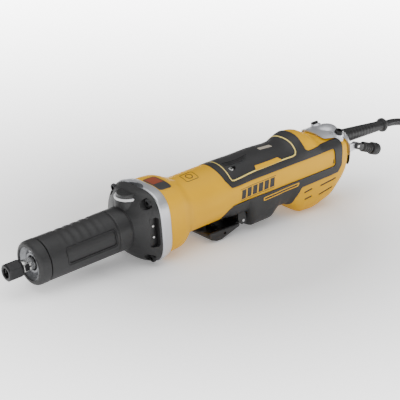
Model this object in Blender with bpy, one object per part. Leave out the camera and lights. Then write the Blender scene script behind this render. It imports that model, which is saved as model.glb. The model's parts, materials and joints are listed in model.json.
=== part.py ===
"""Die grinder with a long rubber nose grip, a paddle switch and a mains cord.

The tool is modelled along its own spindle axis (+X to the rear, x = 0 at the heads of the
flange screws) and then laid on its flange ring and heel, which drops the nose a few degrees.
Run with: blender --background --python part.py
"""
import math

import bmesh
import bpy
from mathutils import Matrix, Vector

# ---- driving sizes, in metres ------------------------------------------------------------
GAP = 0.0003                 # between faces that touch on the real tool

# collet nut and spindle
NUT_FLATS = 0.017
NUT_LENGTH = 0.0138
SKIRT_RADIUS = 0.0083
SKIRT_LENGTH = 0.0026
COLLET_BORE = 0.00635
COLLET_RADIUS = 0.0046
COLLET_LENGTH = 0.024
SPINDLE_RADIUS = 0.0063
THREAD_RADIUS = 0.0059
SPINDLE_REACH = 0.0095       # bare spindle between the nose lip and the nut
WRENCH_FLATS = 0.0100

# nose, grip and gear case
NOSE_RADIUS = 0.0225
NOSE_OPENING = 0.0187
NOSE_RING_LENGTH = 0.012
GROOVE = 0.0012
GRIP_RADIUS = 0.0222
GRIP_LENGTH = 0.0797
GRIP_RUBBER = 0.0024
COLLAR_LENGTH = 0.0165
CASE_FLARE = 0.0217          # from the collar to the flange ring
RING_FRONT = 0.005
RING_LENGTH = 0.013
RING_HALF = 0.039
SCREW_INSET_Y = 0.0110       # of the flange screws from the ring's sides
SCREW_INSET_Z = 0.0091
HUB_RADIUS = 0.011

# spindle lock on top of the gear case
LOCK_X = -0.004
LOCK_BOSS_WALL = 0.0025
LOCK_BOSS_TOP = 0.0300
LOCK_CAP_RADIUS = 0.0123
LOCK_CAP_TOP = 0.0358
LOCK_TRAVEL = 0.0034
LOCK_PIN_RADIUS = 0.0025

# motor
STATOR_LENGTH = 0.048
WINDING_LENGTH = 0.008
ROTOR_RADIUS = 0.0158
SHAFT_RADIUS = 0.004
FAN_CLEARANCE = 0.0052
FAN_LENGTH = 0.008
ROTOR_BEARING_RADIUS = 0.0095
ROTOR_BEARING_LENGTH = 0.005

# housing
WALL = 0.0026
FLARE_STEP = 0.0022          # of the housing inside the ring's edge
FLARE_END = 0.053
NECK_RADIUS = 0.030
NECK_LENGTH = 0.047
HANDLE_LENGTH = 0.1845
HANDLE_HALF_WIDTH = 0.0275
HUMP_HEIGHT = 0.0326
HEEL_DROP = 0.0565
SKIN = 0.0012                # how far the rubber skins stand out
SKIN_GAP = 0.0004            # under a skin, where the housing curves away from its facets

# paddle switch
PADDLE_SETBACK = 0.0245       # of the paddle's hinge from the front of the handle
PADDLE_PIVOT_Z = -0.0350
PADDLE_LENGTH = 0.0445
PADDLE_HALF_WIDTH = 0.0215
PADDLE_TIP_DROP = 0.0105
PADDLE_SHEET = 0.0022
PADDLE_TRAVEL = math.radians(8)

# rear end
BRACKET_SHEET = 0.0024
BRACKET_SCREW_INSET = 0.0183
BRACKET_SCREW_Y = 0.0174
RELIEF_LENGTH = 0.068
RELIEF_ROOT_RADIUS = 0.0080
RELIEF_TIP_RADIUS = 0.0055
RELIEF_RIM_RADIUS = 0.0080
RELIEF_Z = 0.0040
TETHER_REACH = 0.0106         # of the tether's pin from the bracket's back
TETHER_Y = -0.0130
TETHER_Z = -0.0060
TETHER_DROOP = math.radians(24)

# cord
CORD_RADIUS = 0.0041
COIL_TURN_RADIUS = 0.046
COIL_BUILD = 0.0125          # half the thickness of the coil across its turns
PLUG_LENGTH = 0.034
PLUG_WIDTH = 0.024
PLUG_HEIGHT = 0.015
PLUG_OFFSET = (-0.0404, -0.0035, 0)     # from the coil's centre
PLUG_TURN = math.radians(30)
BLADE_SPACING = 0.0127

# ---- derived places ----------------------------------------------------------------------
COLLAR_REAR = RING_FRONT - CASE_FLARE
COLLAR_FRONT = COLLAR_REAR - COLLAR_LENGTH
GRIP_REAR = COLLAR_FRONT - GAP
GRIP_FRONT = GRIP_REAR - GRIP_LENGTH
NOSE_REAR = GRIP_FRONT - GROOVE
NOSE_FRONT = NOSE_REAR - NOSE_RING_LENGTH
SKIRT_REAR = NOSE_FRONT - SPINDLE_REACH
NUT_REAR = SKIRT_REAR - SKIRT_LENGTH
NUT_FRONT = NUT_REAR - NUT_LENGTH
RING_REAR = RING_FRONT + RING_LENGTH
HANDLE_START = FLARE_END + NECK_LENGTH
HANDLE_REAR = HANDLE_START + HANDLE_LENGTH
HEEL_X = HANDLE_REAR - 0.0700
NECK_TUBE_RADIUS = GRIP_RADIUS - GRIP_RUBBER - GAP
SCREW_Y = RING_HALF - SCREW_INSET_Y
SCREW_Z = RING_HALF - SCREW_INSET_Z
LOCK_BOSS_RADIUS = LOCK_CAP_RADIUS + LOCK_BOSS_WALL
FLARE_HALF = RING_HALF - FLARE_STEP
FAN_RADIUS = FLARE_HALF - WALL - FAN_CLEARANCE
STATOR_FRONT = FLARE_END - 0.005
PADDLE_PIVOT_X = HANDLE_START + PADDLE_SETBACK
PLUNGER_X = PADDLE_PIVOT_X - 0.0110
BRACKET_SCREW_X = HANDLE_REAR - BRACKET_SCREW_INSET
TETHER_X = HANDLE_REAR + BRACKET_SHEET + TETHER_REACH

TURN_STEPS = 24
HIDDEN_STEPS = 16
BODY_POINTS = 24


# ---- finishes ----------------------------------------------------------------------------
def finish(name, colour, roughness, metallic):
    material = bpy.data.materials.new(name)
    material.use_nodes = True
    shader = material.node_tree.nodes["Principled BSDF"]
    shader.inputs["Base Color"].default_value = (*colour, 1)
    shader.inputs["Roughness"].default_value = roughness
    shader.inputs["Metallic"].default_value = metallic
    material.diffuse_color = (*colour, 1)
    return material


FINISHES = {
    "yellow": ((0.88, 0.50, 0.012), 0.38, 0.0),
    "rubber": ((0.022, 0.022, 0.023), 0.62, 0.0),
    "black": ((0.016, 0.016, 0.017), 0.42, 0.0),
    "oxide": ((0.035, 0.035, 0.037), 0.36, 0.9),
    "steel": ((0.58, 0.58, 0.57), 0.24, 1.0),
    "cast": ((0.62, 0.62, 0.63), 0.40, 0.9),
    "copper": ((0.62, 0.27, 0.10), 0.35, 1.0),
    "brass": ((0.70, 0.52, 0.20), 0.30, 1.0),
}


# ---- making shapes -----------------------------------------------------------------------
def add(name, mesh, parent, kind):
    """Link a mesh as a node with its own finish."""
    colour, roughness, metallic = FINISHES[kind]
    mesh.materials.append(finish(name + "_" + kind, colour, roughness, metallic))
    mesh.shade_smooth()
    mesh.set_sharp_from_angle(angle=math.radians(35))
    item = bpy.data.objects.new(name, mesh)
    bpy.context.scene.collection.objects.link(item)
    item.parent = parent
    return item


def cutter(name, mesh, parent):
    """Link a mesh as a hidden cutting or limiting body."""
    item = bpy.data.objects.new(name, mesh)
    bpy.context.scene.collection.objects.link(item)
    item.parent = parent
    item.hide_render = True
    item.display_type = "WIRE"
    return item


def combine(item, other, operation="DIFFERENCE"):
    step = item.modifiers.new(operation.lower(), "BOOLEAN")
    step.operation = operation
    step.solver = "EXACT"
    step.object = other


def closed_mesh(name, bm):
    bmesh.ops.remove_doubles(bm, verts=bm.verts, dist=1e-7)
    bmesh.ops.recalc_face_normals(bm, faces=bm.faces)
    mesh = bpy.data.meshes.new(name)
    bm.to_mesh(mesh)
    bm.free()
    return mesh


def turned(name, profile, axis="X", centre=(0, 0, 0), steps=TURN_STEPS):
    """Spin (along, radius) points about an axis; a profile off the axis closes on itself."""
    bm = bmesh.new()
    verts = [bm.verts.new((along, 0, radius)) for along, radius in profile]
    pairs = list(zip(verts, verts[1:]))
    if profile[0][1] > 0:
        pairs.append((verts[-1], verts[0]))
    edges = [bm.edges.new(pair) for pair in pairs]
    bmesh.ops.spin(bm, geom=verts + edges, cent=(0, 0, 0), axis=(1, 0, 0),
                   angle=2 * math.pi, steps=steps, use_merge=True)
    if axis == "Z":
        bmesh.ops.rotate(bm, verts=bm.verts, matrix=Matrix.Rotation(-math.pi / 2, 3, "Y"))
    if axis == "Y":
        bmesh.ops.rotate(bm, verts=bm.verts, matrix=Matrix.Rotation(math.pi / 2, 3, "Z"))
    bmesh.ops.translate(bm, verts=bm.verts, vec=centre)
    return closed_mesh(name, bm)


def rod(name, start, end, radius, axis="X", centre=(0, 0, 0), steps=TURN_STEPS, chamfer=0):
    profile = [(start, 0), (start, radius), (end, radius), (end, 0)]
    if chamfer:
        profile = [(start, 0), (start, radius - chamfer), (start + chamfer, radius),
                   (end - chamfer, radius), (end, radius - chamfer), (end, 0)]
    return turned(name, profile, axis, centre, steps)


def tube(name, start, end, inner, outer, axis="X", centre=(0, 0, 0), steps=TURN_STEPS):
    profile = [(start, inner), (start, outer), (end, outer), (end, inner)]
    return turned(name, profile, axis, centre, steps)


def block(name, low, high, bevel=0):
    bm = bmesh.new()
    bmesh.ops.create_cube(bm, size=1)
    size = Vector(high) - Vector(low)
    bmesh.ops.scale(bm, verts=bm.verts, vec=size)
    bmesh.ops.translate(bm, verts=bm.verts, vec=(Vector(high) + Vector(low)) / 2)
    if bevel:
        bmesh.ops.bevel(bm, geom=bm.edges[:], offset=bevel, segments=2, profile=0.5,
                        affect="EDGES", clamp_overlap=True)
    return closed_mesh(name, bm)


def rounded(points, radius, steps=4):
    """Round each corner of a polygon with an arc that touches both of its sides."""
    outline = []
    for before, corner, after in zip(points[-1:] + points[:-1], points, points[1:] + points[:1]):
        to_before = (Vector(before) - Vector(corner)).normalized()
        to_after = (Vector(after) - Vector(corner)).normalized()
        half = to_before.angle(to_after) / 2
        reach = min(radius / math.tan(half), (Vector(before) - Vector(corner)).length * 0.45,
                    (Vector(after) - Vector(corner)).length * 0.45)
        true_radius = reach * math.tan(half)
        centre = Vector(corner) + (to_before + to_after).normalized() * (true_radius / math.sin(half))
        first = Vector(corner) + to_before * reach - centre
        last = Vector(corner) + to_after * reach - centre
        turn = math.atan2(first.x * last.y - first.y * last.x, first.dot(last))
        for step in range(steps + 1):
            arm = first.copy()
            arm.rotate(Matrix.Rotation(turn * step / steps, 2))
            outline.append(tuple(centre + arm))
    return outline


def prism(name, outline, low, high, plane="XZ"):
    """Extrude an outline drawn in a plane from low to high along the plane's normal."""
    bm = bmesh.new()
    place = {"XZ": lambda a, b: (a, low, b), "XY": lambda a, b: (a, b, low),
             "YZ": lambda a, b: (low, a, b)}[plane]
    way = {"XZ": (0, high - low, 0), "XY": (0, 0, high - low), "YZ": (high - low, 0, 0)}[plane]
    face = bm.faces.new([bm.verts.new(place(a, b)) for a, b in outline])
    grown = bmesh.ops.extrude_face_region(bm, geom=[face])
    moved = [part for part in grown["geom"] if isinstance(part, bmesh.types.BMVert)]
    bmesh.ops.translate(bm, verts=moved, vec=way)
    return closed_mesh(name, bm)


def ring_points(half_width, top, drop, full_top, full_low, count):
    """One cross-section: a superellipse whose upper and lower halves differ, flat at top and bottom."""
    points = []
    peak = math.sin(math.pi / 2 - math.pi / count)
    for step in range(count):
        angle = 2 * math.pi * (step + 0.5) / count
        side, rise = math.cos(angle), math.sin(angle)
        full = full_top if rise > 0 else full_low
        height = top if rise > 0 else drop
        y = math.copysign(abs(side) ** (2 / full), side) * half_width
        z = math.copysign(min(1, abs(rise / peak)) ** (2 / full), rise) * height
        points.append((y, z))
    return points


def lofted(name, stations, count=BODY_POINTS):
    """Bridge cross-sections along X. A station is x, half width, top, drop, fullnesses."""
    bm = bmesh.new()
    rings = []
    for x, half_width, top, drop, full_top, full_low in stations:
        points = ring_points(half_width, top, drop, full_top, full_low, count)
        verts = [bm.verts.new((x, y, z)) for y, z in points]
        rings.append([bm.edges.new((verts[i], verts[(i + 1) % count])) for i in range(count)])
    for front, rear in zip(rings, rings[1:]):
        bmesh.ops.bridge_loops(bm, edges=front + rear)
    for ring in (rings[0], rings[-1]):
        bmesh.ops.contextual_create(bm, geom=ring)
    return closed_mesh(name, bm)


def pivot(name, place, parent):
    empty = bpy.data.objects.new(name, None)
    bpy.context.scene.collection.objects.link(empty)
    empty.empty_display_size = 0.01
    empty.location = place
    empty.parent = parent
    return empty


# ---- collet, nut and spindle -------------------------------------------------------------
THREAD_END = NUT_FRONT + 0.006
NUT_FACE_RADIUS = NUT_FLATS / 2 - 0.0005
SPINDLE_END = LOCK_X + 0.003
JOURNAL_RADIUS = 0.0052


def collet_nut(parent):
    corner = NUT_FLATS / math.sqrt(3)
    outline = [(corner * math.cos(math.radians(60 * i + 30)), corner * math.sin(math.radians(60 * i + 30)))
               for i in range(6)]
    item = add("collet_nut", prism("collet_nut", outline, NUT_FRONT, NUT_REAR, "YZ"), parent, "oxide")
    crown = turned("nut_crown_limit", [
        (NUT_FRONT, 0), (NUT_FRONT, NUT_FACE_RADIUS), (NUT_FRONT + 0.0016, corner + 0.0001),
        (NUT_REAR + 0.001, corner + 0.0001), (NUT_REAR + 0.001, 0)])
    combine(item, cutter("nut_crown_limit", crown, parent), "INTERSECT")
    skirt = rod("nut_skirt", NUT_REAR - 0.001, SKIRT_REAR, SKIRT_RADIUS, chamfer=0.0004)
    combine(item, cutter("nut_skirt", skirt, parent), "UNION")
    bore = turned("nut_bore", [
        (NUT_FRONT - 0.001, 0), (NUT_FRONT - 0.001, COLLET_RADIUS + GAP),
        (THREAD_END - GAP, COLLET_RADIUS + GAP), (THREAD_END - GAP, THREAD_RADIUS + GAP),
        (SKIRT_REAR + 0.001, THREAD_RADIUS + GAP), (SKIRT_REAR + 0.001, 0)])
    combine(item, cutter("nut_bore", bore, parent))


def collet(parent):
    front = NUT_FRONT + 0.0005
    rear = NUT_FRONT + COLLET_LENGTH
    item = add("collet", tube("collet", front, rear, COLLET_BORE / 2, COLLET_RADIUS), parent, "steel")
    for turn in range(3):
        slot = block("collet_slot", (front - 0.001, -0.0004, 0.001), (rear - 0.006, 0.0004, 0.006))
        slot.transform(Matrix.Rotation(math.radians(120 * turn), 4, "X"))
        combine(item, cutter("collet_slot", slot, parent))


def spindle(parent):
    bore_end = NUT_FRONT + COLLET_LENGTH + 0.006
    profile = [
        (bore_end, 0), (bore_end - 0.003, COLLET_RADIUS + GAP), (THREAD_END, COLLET_RADIUS + GAP),
        (THREAD_END, THREAD_RADIUS - 0.0005), (THREAD_END + 0.0005, THREAD_RADIUS),
        (SKIRT_REAR + GAP, THREAD_RADIUS), (SKIRT_REAR + GAP, SPINDLE_RADIUS),
        (COLLAR_REAR, SPINDLE_RADIUS), (COLLAR_REAR, JOURNAL_RADIUS),
        (SPINDLE_END, JOURNAL_RADIUS), (SPINDLE_END, 0)]
    item = add("spindle", turned("spindle", profile), parent, "steel")
    for side in (-1, 1):
        inner, outer = sorted((side * WRENCH_FLATS / 2, side * 0.009))
        flat = block("wrench_flat", (SKIRT_REAR + 0.0012, inner, -0.009), (NOSE_FRONT - 0.0008, outer, 0.009))
        combine(item, cutter("wrench_flat", flat, parent))


def lock_hub(parent):
    """Coupling between spindle and rotor shaft, with the four holes that the lock pin enters."""
    front = LOCK_X - 0.0065
    step = SPINDLE_END + GAP
    rear = LOCK_X + 0.008
    profile = [(front, JOURNAL_RADIUS + GAP), (front, HUB_RADIUS), (rear, HUB_RADIUS),
               (rear, SHAFT_RADIUS + GAP), (step, SHAFT_RADIUS + GAP), (step, JOURNAL_RADIUS + GAP)]
    item = add("lock_hub", turned("lock_hub", profile), parent, "steel")
    for quarter in range(4):
        hole = rod("hub_hole", 0.0072, HUB_RADIUS + 0.002, LOCK_PIN_RADIUS + 0.0004, "Z", steps=16)
        hole.transform(Matrix.Rotation(math.radians(90 * quarter), 4, "X"))
        hole.transform(Matrix.Translation((LOCK_X, 0, 0)))
        combine(item, cutter("hub_hole", hole, parent))


def bearing(name, start, width, inner, outer, parent):
    ring = tube(name, start, start + width, inner + GAP, outer, steps=HIDDEN_STEPS)
    add(name, ring, parent, "steel")


# ---- nose and gear case ------------------------------------------------------------------
NECK_FRONT = NOSE_REAR - 0.0045
FRONT_BEARING_RADIUS = 0.013
REAR_BEARING_RADIUS = 0.014
BEARING_WIDTH = 0.010
CASE_REAR = RING_FRONT - GAP


def bearing_cap(parent):
    """Turned cup that closes the nose in front of the bearing."""
    front = NOSE_FRONT + 0.001
    rear = NECK_FRONT - GAP
    outer = NOSE_OPENING - GAP
    inner = SPINDLE_RADIUS + 0.0012
    profile = [(front, outer - 0.0009), (front, outer), (rear, outer), (rear, inner),
               (rear - 0.0018, inner), (rear - 0.0024, inner + 0.0035), (front + 0.0012, outer - 0.0030)]
    add("bearing_cap", turned("bearing_cap", profile), parent, "cast")


def nose_ring(parent):
    profile = [(NOSE_FRONT, NOSE_OPENING), (NOSE_FRONT, NOSE_OPENING + 0.0009),
               (NOSE_FRONT + 0.0012, NOSE_RADIUS - 0.0014), (NOSE_FRONT + 0.0040, NOSE_RADIUS),
               (NOSE_REAR, NOSE_RADIUS), (NOSE_REAR, NECK_TUBE_RADIUS + GAP),
               (NECK_FRONT - GAP, NECK_TUBE_RADIUS + GAP), (NECK_FRONT - GAP, NOSE_OPENING)]
    add("nose_ring", turned("nose_ring", profile), parent, "rubber")


def grip_sleeve(parent):
    """Rubber sleeve with shallow finger waves and a framed recess on each side."""
    inner = NECK_TUBE_RADIUS + GAP
    waves = 5
    wave_start = GRIP_FRONT + 0.016
    wave_end = GRIP_REAR - 0.012
    profile = [(GRIP_FRONT, inner), (GRIP_FRONT, GRIP_RADIUS - 0.0005), (GRIP_FRONT + 0.0006, GRIP_RADIUS)]
    for step in range(waves * 2 + 1):
        along = wave_start + (wave_end - wave_start) * step / (waves * 2)
        profile.append((along, GRIP_RADIUS - (0.0005 if step % 2 else 0)))
    profile += [(GRIP_REAR - 0.0006, GRIP_RADIUS), (GRIP_REAR, GRIP_RADIUS - 0.0005), (GRIP_REAR, inner)]
    item = add("grip_sleeve", turned("grip_sleeve", profile), parent, "rubber")
    outline = rounded([(GRIP_FRONT + 0.0185, -0.0045), (GRIP_FRONT + 0.0185, 0.0110),
                       (GRIP_REAR - 0.0035, 0.0110), (GRIP_REAR - 0.0035, -0.0045)], 0.0025)
    for side in (-1, 1):
        low, high = sorted((side * (GRIP_RADIUS - 0.0016), side * 0.030))
        recess = prism("grip_recess", outline, low, high)
        combine(item, cutter("grip_recess", recess, parent))


def lock_cylinder(name, low, high, radius, parent):
    return cutter(name, rod(name, low, high, radius, "Z", (LOCK_X, 0, 0)), parent)


LOCK_POCKET_FLOOR = 0.0240
BOSS_FLOOR = 0.0200
SCREW_SHANK = 0.0021
SCREW_HEAD = 0.0042


def screw_places():
    return [(side * SCREW_Y, rise * SCREW_Z) for rise in (1, -1) for side in (-1, 1)]


def gear_case(parent):
    """Black casting: the neck tube under the grip, the flared flange and the lock boss."""
    neck, collar = NECK_TUBE_RADIUS, GRIP_RADIUS
    rings = [(NECK_FRONT, neck, 2), (COLLAR_FRONT - 0.0001, neck, 2), (COLLAR_FRONT, collar, 2),
             (COLLAR_REAR, collar + 0.0002, 2), (COLLAR_REAR + 0.0045, RING_HALF - 0.0108, 2.15),
             (COLLAR_REAR + 0.0095, RING_HALF - 0.0048, 2.7), (COLLAR_REAR + 0.0135, RING_HALF - 0.0016, 3.1),
             (CASE_REAR, RING_HALF - 0.0006, 3.5)]
    stations = [(x, half, half, half, full, full) for x, half, full in rings]
    item = add("gear_case", lofted("gear_case", stations, 36), parent, "black")
    boss = lock_cylinder("lock_boss", BOSS_FLOOR, LOCK_BOSS_TOP + 0.002, LOCK_BOSS_RADIUS, parent)
    combine(item, boss, "UNION")
    bore = turned("case_bore", [
        (NECK_FRONT - 0.001, 0), (NECK_FRONT - 0.001, FRONT_BEARING_RADIUS + GAP),
        (COLLAR_FRONT - 0.002, FRONT_BEARING_RADIUS + GAP), (COLLAR_FRONT - 0.002, REAR_BEARING_RADIUS + GAP),
        (COLLAR_REAR, REAR_BEARING_RADIUS + GAP), (COLLAR_REAR, 0.0165), (CASE_REAR + 0.001, 0.0165),
        (CASE_REAR + 0.001, 0)])
    combine(item, cutter("case_bore", bore, parent))
    combine(item, lock_cylinder("bezel_room", LOCK_BOSS_TOP, 0.050, LOCK_BOSS_RADIUS + GAP, parent))
    combine(item, lock_cylinder("lock_pocket", LOCK_POCKET_FLOOR, LOCK_BOSS_TOP + 0.004,
                                LOCK_CAP_RADIUS + 0.0004, parent))
    combine(item, lock_cylinder("lock_pin_hole", 0.010, LOCK_POCKET_FLOOR + 0.001,
                                LOCK_PIN_RADIUS + 0.0004, parent))
    for y, z in screw_places():
        seat = rod("screw_seat", -0.020, 0, 0.0056, "X", (0, y, z), 20)
        combine(item, cutter("screw_seat", seat, parent))
        hole = rod("screw_hole", -0.001, CASE_REAR + 0.001, SCREW_SHANK + GAP, "X", (0, y, z), 12)
        combine(item, cutter("screw_hole", hole, parent))
    outline = rounded([(-0.0065, -0.0150), (-0.0065, 0.0165), (0.0020, 0.0165), (0.0020, -0.0150)], 0.0025)
    for side in (-1, 1):
        low, high = sorted((side * (RING_HALF - 0.0080), side * (RING_HALF + 0.006)))
        combine(item, cutter("case_window", prism("case_window", outline, low, high), parent))


def pan_screw(name, parent, head_height, length, place=(0, 0, 0)):
    """A screw along local X whose head's underside is at x = 0."""
    profile = [(-head_height, 0), (-head_height, SCREW_HEAD - 0.0008), (-head_height + 0.0008, SCREW_HEAD),
               (-GAP, SCREW_HEAD), (-GAP, SCREW_SHANK), (length, SCREW_SHANK), (length, 0)]
    item = add(name, turned(name, profile, "X", place, 20), parent, "oxide")
    socket = prism(name + "_socket", [(0.0022 * math.cos(math.radians(60 * i)),
                                       0.0022 * math.sin(math.radians(60 * i))) for i in range(6)],
                   -head_height - 0.001, -head_height + 0.0016, "YZ")
    socket.transform(Matrix.Translation(place))
    combine(item, cutter(name + "_socket", socket, parent))


def spindle_lock(parent, housing):
    """The button, its pin and its spring, with the bezel that stays on the boss."""
    bezel_top = LOCK_BOSS_TOP + 0.0022
    bezel = tube("lock_bezel", LOCK_BOSS_TOP + GAP, bezel_top, LOCK_CAP_RADIUS + 0.0004, LOCK_BOSS_RADIUS,
                 "Z", (LOCK_X, 0, 0))
    add("lock_bezel", bezel, housing, "cast")
    cap_low = LOCK_POCKET_FLOOR + LOCK_TRAVEL + 0.0016
    profile = [(cap_low, 0), (cap_low, LOCK_CAP_RADIUS), (LOCK_CAP_TOP - 0.0010, LOCK_CAP_RADIUS),
               (LOCK_CAP_TOP, LOCK_CAP_RADIUS - 0.0010), (LOCK_CAP_TOP, LOCK_CAP_RADIUS - 0.0032),
               (LOCK_CAP_TOP - 0.0005, LOCK_CAP_RADIUS - 0.0040), (LOCK_CAP_TOP - 0.0005, 0)]
    add("lock_button", turned("lock_button", profile, "Z"), parent, "black")
    pin = rod("lock_pin", HUB_RADIUS + 0.0008, cap_low - GAP, LOCK_PIN_RADIUS, "Z", steps=16, chamfer=0.0004)
    add("lock_pin", pin, parent, "steel")
    spring = tube("lock_spring", LOCK_POCKET_FLOOR + GAP, cap_low - GAP, 0.0050, 0.0075, "Z",
                  (LOCK_X, 0, 0), 20)
    add("lock_spring", spring, housing, "steel")


# ---- flange ring and motor ---------------------------------------------------------------
MID_BEARING = RING_FRONT + 0.0015
MID_BEARING_WIDTH = 0.007
MID_BEARING_RADIUS = 0.0107


def flange_ring(parent):
    rings = [(RING_FRONT, RING_HALF - 0.0008, 3.6), (RING_FRONT + 0.0012, RING_HALF, 3.6),
             (RING_REAR - 0.0008, RING_HALF - 0.0014, 3.3), (RING_REAR, RING_HALF - 0.0020, 3.2)]
    stations = [(x, half, half, half, full, full) for x, half, full in rings]
    item = add("flange_ring", lofted("flange_ring", stations, 36), parent, "cast")
    bore = rod("ring_bore", RING_FRONT - 0.001, RING_REAR + 0.001, MID_BEARING_RADIUS + GAP)
    combine(item, cutter("ring_bore", bore, parent))
    combine(item, lock_cylinder("boss_notch", BOSS_FLOOR - GAP, 0.050, LOCK_BOSS_RADIUS + GAP, parent))
    for angle in (-90, -30, -150, 30, 150):
        y, z = 0.0195 * math.cos(math.radians(angle)), 0.0195 * math.sin(math.radians(angle))
        hole = rod("air_hole", RING_FRONT - 0.001, RING_REAR + 0.001, 0.0048, "X", (0, y, z), 12)
        combine(item, cutter("air_hole", hole, parent))
    for y, z in screw_places():
        hole = rod("ring_screw_hole", RING_FRONT - 0.001, RING_FRONT + 0.0096, SCREW_SHANK + GAP, "X",
                   (0, y, z), 12)
        combine(item, cutter("ring_screw_hole", hole, parent))


def motor(rotor, housing):
    stator_rear = STATOR_FRONT + STATOR_LENGTH
    bearing_front = stator_rear + WINDING_LENGTH + 0.0004
    shaft_front = SPINDLE_END + 0.0006
    shaft_rear = bearing_front + 0.0055
    shaft = rod("rotor_shaft", shaft_front, shaft_rear, SHAFT_RADIUS, steps=20)
    add("rotor_shaft", shaft, rotor, "steel")
    core = tube("rotor_core", STATOR_FRONT, stator_rear, SHAFT_RADIUS + GAP, ROTOR_RADIUS)
    add("rotor_core", core, rotor, "steel")
    fan_front = RING_REAR + 0.003
    blades = 11
    blade_shape = [(0.0, 0.011), (0.34, 0.012), (0.40, FAN_RADIUS), (0.52, FAN_RADIUS), (0.50, 0.012)]
    outline = []
    for blade in range(blades):
        for share, reach in blade_shape:
            angle = 2 * math.pi * (blade + share) / blades
            outline.append((reach * math.cos(angle), reach * math.sin(angle)))
    fan = add("fan", prism("fan", outline, fan_front, fan_front + FAN_LENGTH, "YZ"), rotor, "black")
    fan_hole = rod("fan_hole", RING_REAR, RING_REAR + 0.02, SHAFT_RADIUS + GAP, steps=20)
    combine(fan, cutter("fan_hole", fan_hole, rotor))
    bearing("mid_bearing", MID_BEARING, MID_BEARING_WIDTH, SHAFT_RADIUS, MID_BEARING_RADIUS, housing)
    bearing("rotor_bearing", bearing_front, ROTOR_BEARING_LENGTH, SHAFT_RADIUS, ROTOR_BEARING_RADIUS, housing)
    seat = NECK_RADIUS - WALL - GAP
    stator = tube("stator_core", STATOR_FRONT, stator_rear, ROTOR_RADIUS + 0.0007, seat - 0.0003)
    add("stator_core", stator, housing, "steel")
    for name, start in (("winding_front", STATOR_FRONT - WINDING_LENGTH - GAP),
                        ("winding_rear", stator_rear + GAP)):
        coil = tube(name, start, start + WINDING_LENGTH - GAP, ROTOR_RADIUS + 0.0014, seat - 0.0025)
        add(name, coil, housing, "copper")
    plate = tube("motor_end_plate", bearing_front, bearing_front + ROTOR_BEARING_LENGTH,
                 ROTOR_BEARING_RADIUS + GAP, seat - 0.0016)
    add("motor_end_plate", plate, housing, "black")


# ---- housing, skins and rear bracket -----------------------------------------------------
RING_EDGE_X = RING_FRONT + 0.0012
REST_SLOPE = (HEEL_DROP - RING_HALF) / (HEEL_X - RING_EDGE_X)
HEEL_FLAT = 0.007            # half the length of the flat that the heel rests on
FULL_ROUND = 2


def body_stations(grow=0):
    """Cross-sections of the housing; towards the rear end the growth also pushes them back."""
    waist, flare = HANDLE_HALF_WIDTH, FLARE_HALF
    start, rear = HANDLE_START, HANDLE_REAR
    slope = HEEL_FLAT * REST_SLOPE
    rows = [
        (RING_REAR + GAP, flare, flare, flare, 3.1, 3.1),
        (RING_REAR + 0.007, flare, flare, flare, 3.0, 3.0),
        (FLARE_END - 0.017, flare - 0.0006, flare - 0.0006, flare - 0.0006, 2.9, 2.9),
        (FLARE_END - 0.010, NECK_RADIUS + 0.0040, NECK_RADIUS + 0.0040, NECK_RADIUS + 0.0040, 2.6, 2.6),
        (FLARE_END - 0.005, NECK_RADIUS + 0.0016, NECK_RADIUS + 0.0016, NECK_RADIUS + 0.0016, 2.3, 2.3),
        (FLARE_END, NECK_RADIUS + 0.0002, NECK_RADIUS + 0.0002, NECK_RADIUS + 0.0002, 2.05, 2.05),
        (FLARE_END + 0.007, NECK_RADIUS, NECK_RADIUS, NECK_RADIUS, FULL_ROUND, FULL_ROUND),
        (start, NECK_RADIUS, NECK_RADIUS, NECK_RADIUS, FULL_ROUND, FULL_ROUND),
        (start + 0.012, waist + 0.0015, 0.0286, 0.0296, 2.1, 2.3),
        (start + 0.0285, waist + 0.0003, 0.0280, 0.0298, 2.2, 2.6),
        (start + 0.0320, waist, 0.0279, 0.0405, 2.2, 3.2),
        (start + 0.0365, waist, 0.0278, 0.0460, 2.2, 3.8),
        (start + 0.060, waist, 0.0274, 0.0460, 2.3, 3.8),
        (start + 0.068, waist, 0.0270, 0.0415, 2.3, 3.4),
        (start + 0.074, waist, 0.0265, 0.0388, 2.3, 3.0),
        (HEEL_X - 0.0285, waist, 0.0256, 0.0388, 2.3, 3.0),
        (HEEL_X - 0.0215, waist, 0.0258, 0.0430, 2.3, 3.4),
        (HEEL_X - 0.0125, waist, HUMP_HEIGHT - 0.0030, HEEL_DROP - 0.0042, 2.3, 3.8),
        (HEEL_X - HEEL_FLAT, waist, HUMP_HEIGHT - 0.0010, HEEL_DROP - slope, 2.4, 4),
        (HEEL_X, waist, HUMP_HEIGHT, HEEL_DROP, 2.4, 4),
        (HEEL_X + HEEL_FLAT, waist, HUMP_HEIGHT - 0.0012, HEEL_DROP + slope, 2.4, 4),
        (rear - 0.0545, waist, 0.0262, HEEL_DROP - 0.0003, 2.4, 4),
        (rear - 0.0475, waist, 0.0216, HEEL_DROP - 0.0020, 2.4, 3.8),
        (rear - 0.0365, waist - 0.0001, 0.0206, 0.0515, 2.4, 3.8),
        (rear - 0.0255, waist - 0.0007, 0.0200, 0.0445, 2.5, 3.4),
        (rear - 0.0155, waist - 0.0025, 0.0185, 0.0365, 2.5, 3.2),
        (rear - 0.0080, waist - 0.0065, 0.0155, 0.0290, 2.5, 3.0),
        (rear - 0.0025, waist - 0.0125, 0.0110, 0.0200, 2.5, 2.8),
        (rear, waist - 0.0175, 0.0070, 0.0130, 2.5, 2.6)]
    turn_in = 0.030
    grown = []
    for x, half, top, drop, full_top, full_low in rows:
        push = grow * min(1, max(0, (x - rear + turn_in) / turn_in))
        grown.append((x + push, half + grow, top + grow, drop + grow, full_top, full_low))
    return grown


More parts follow.
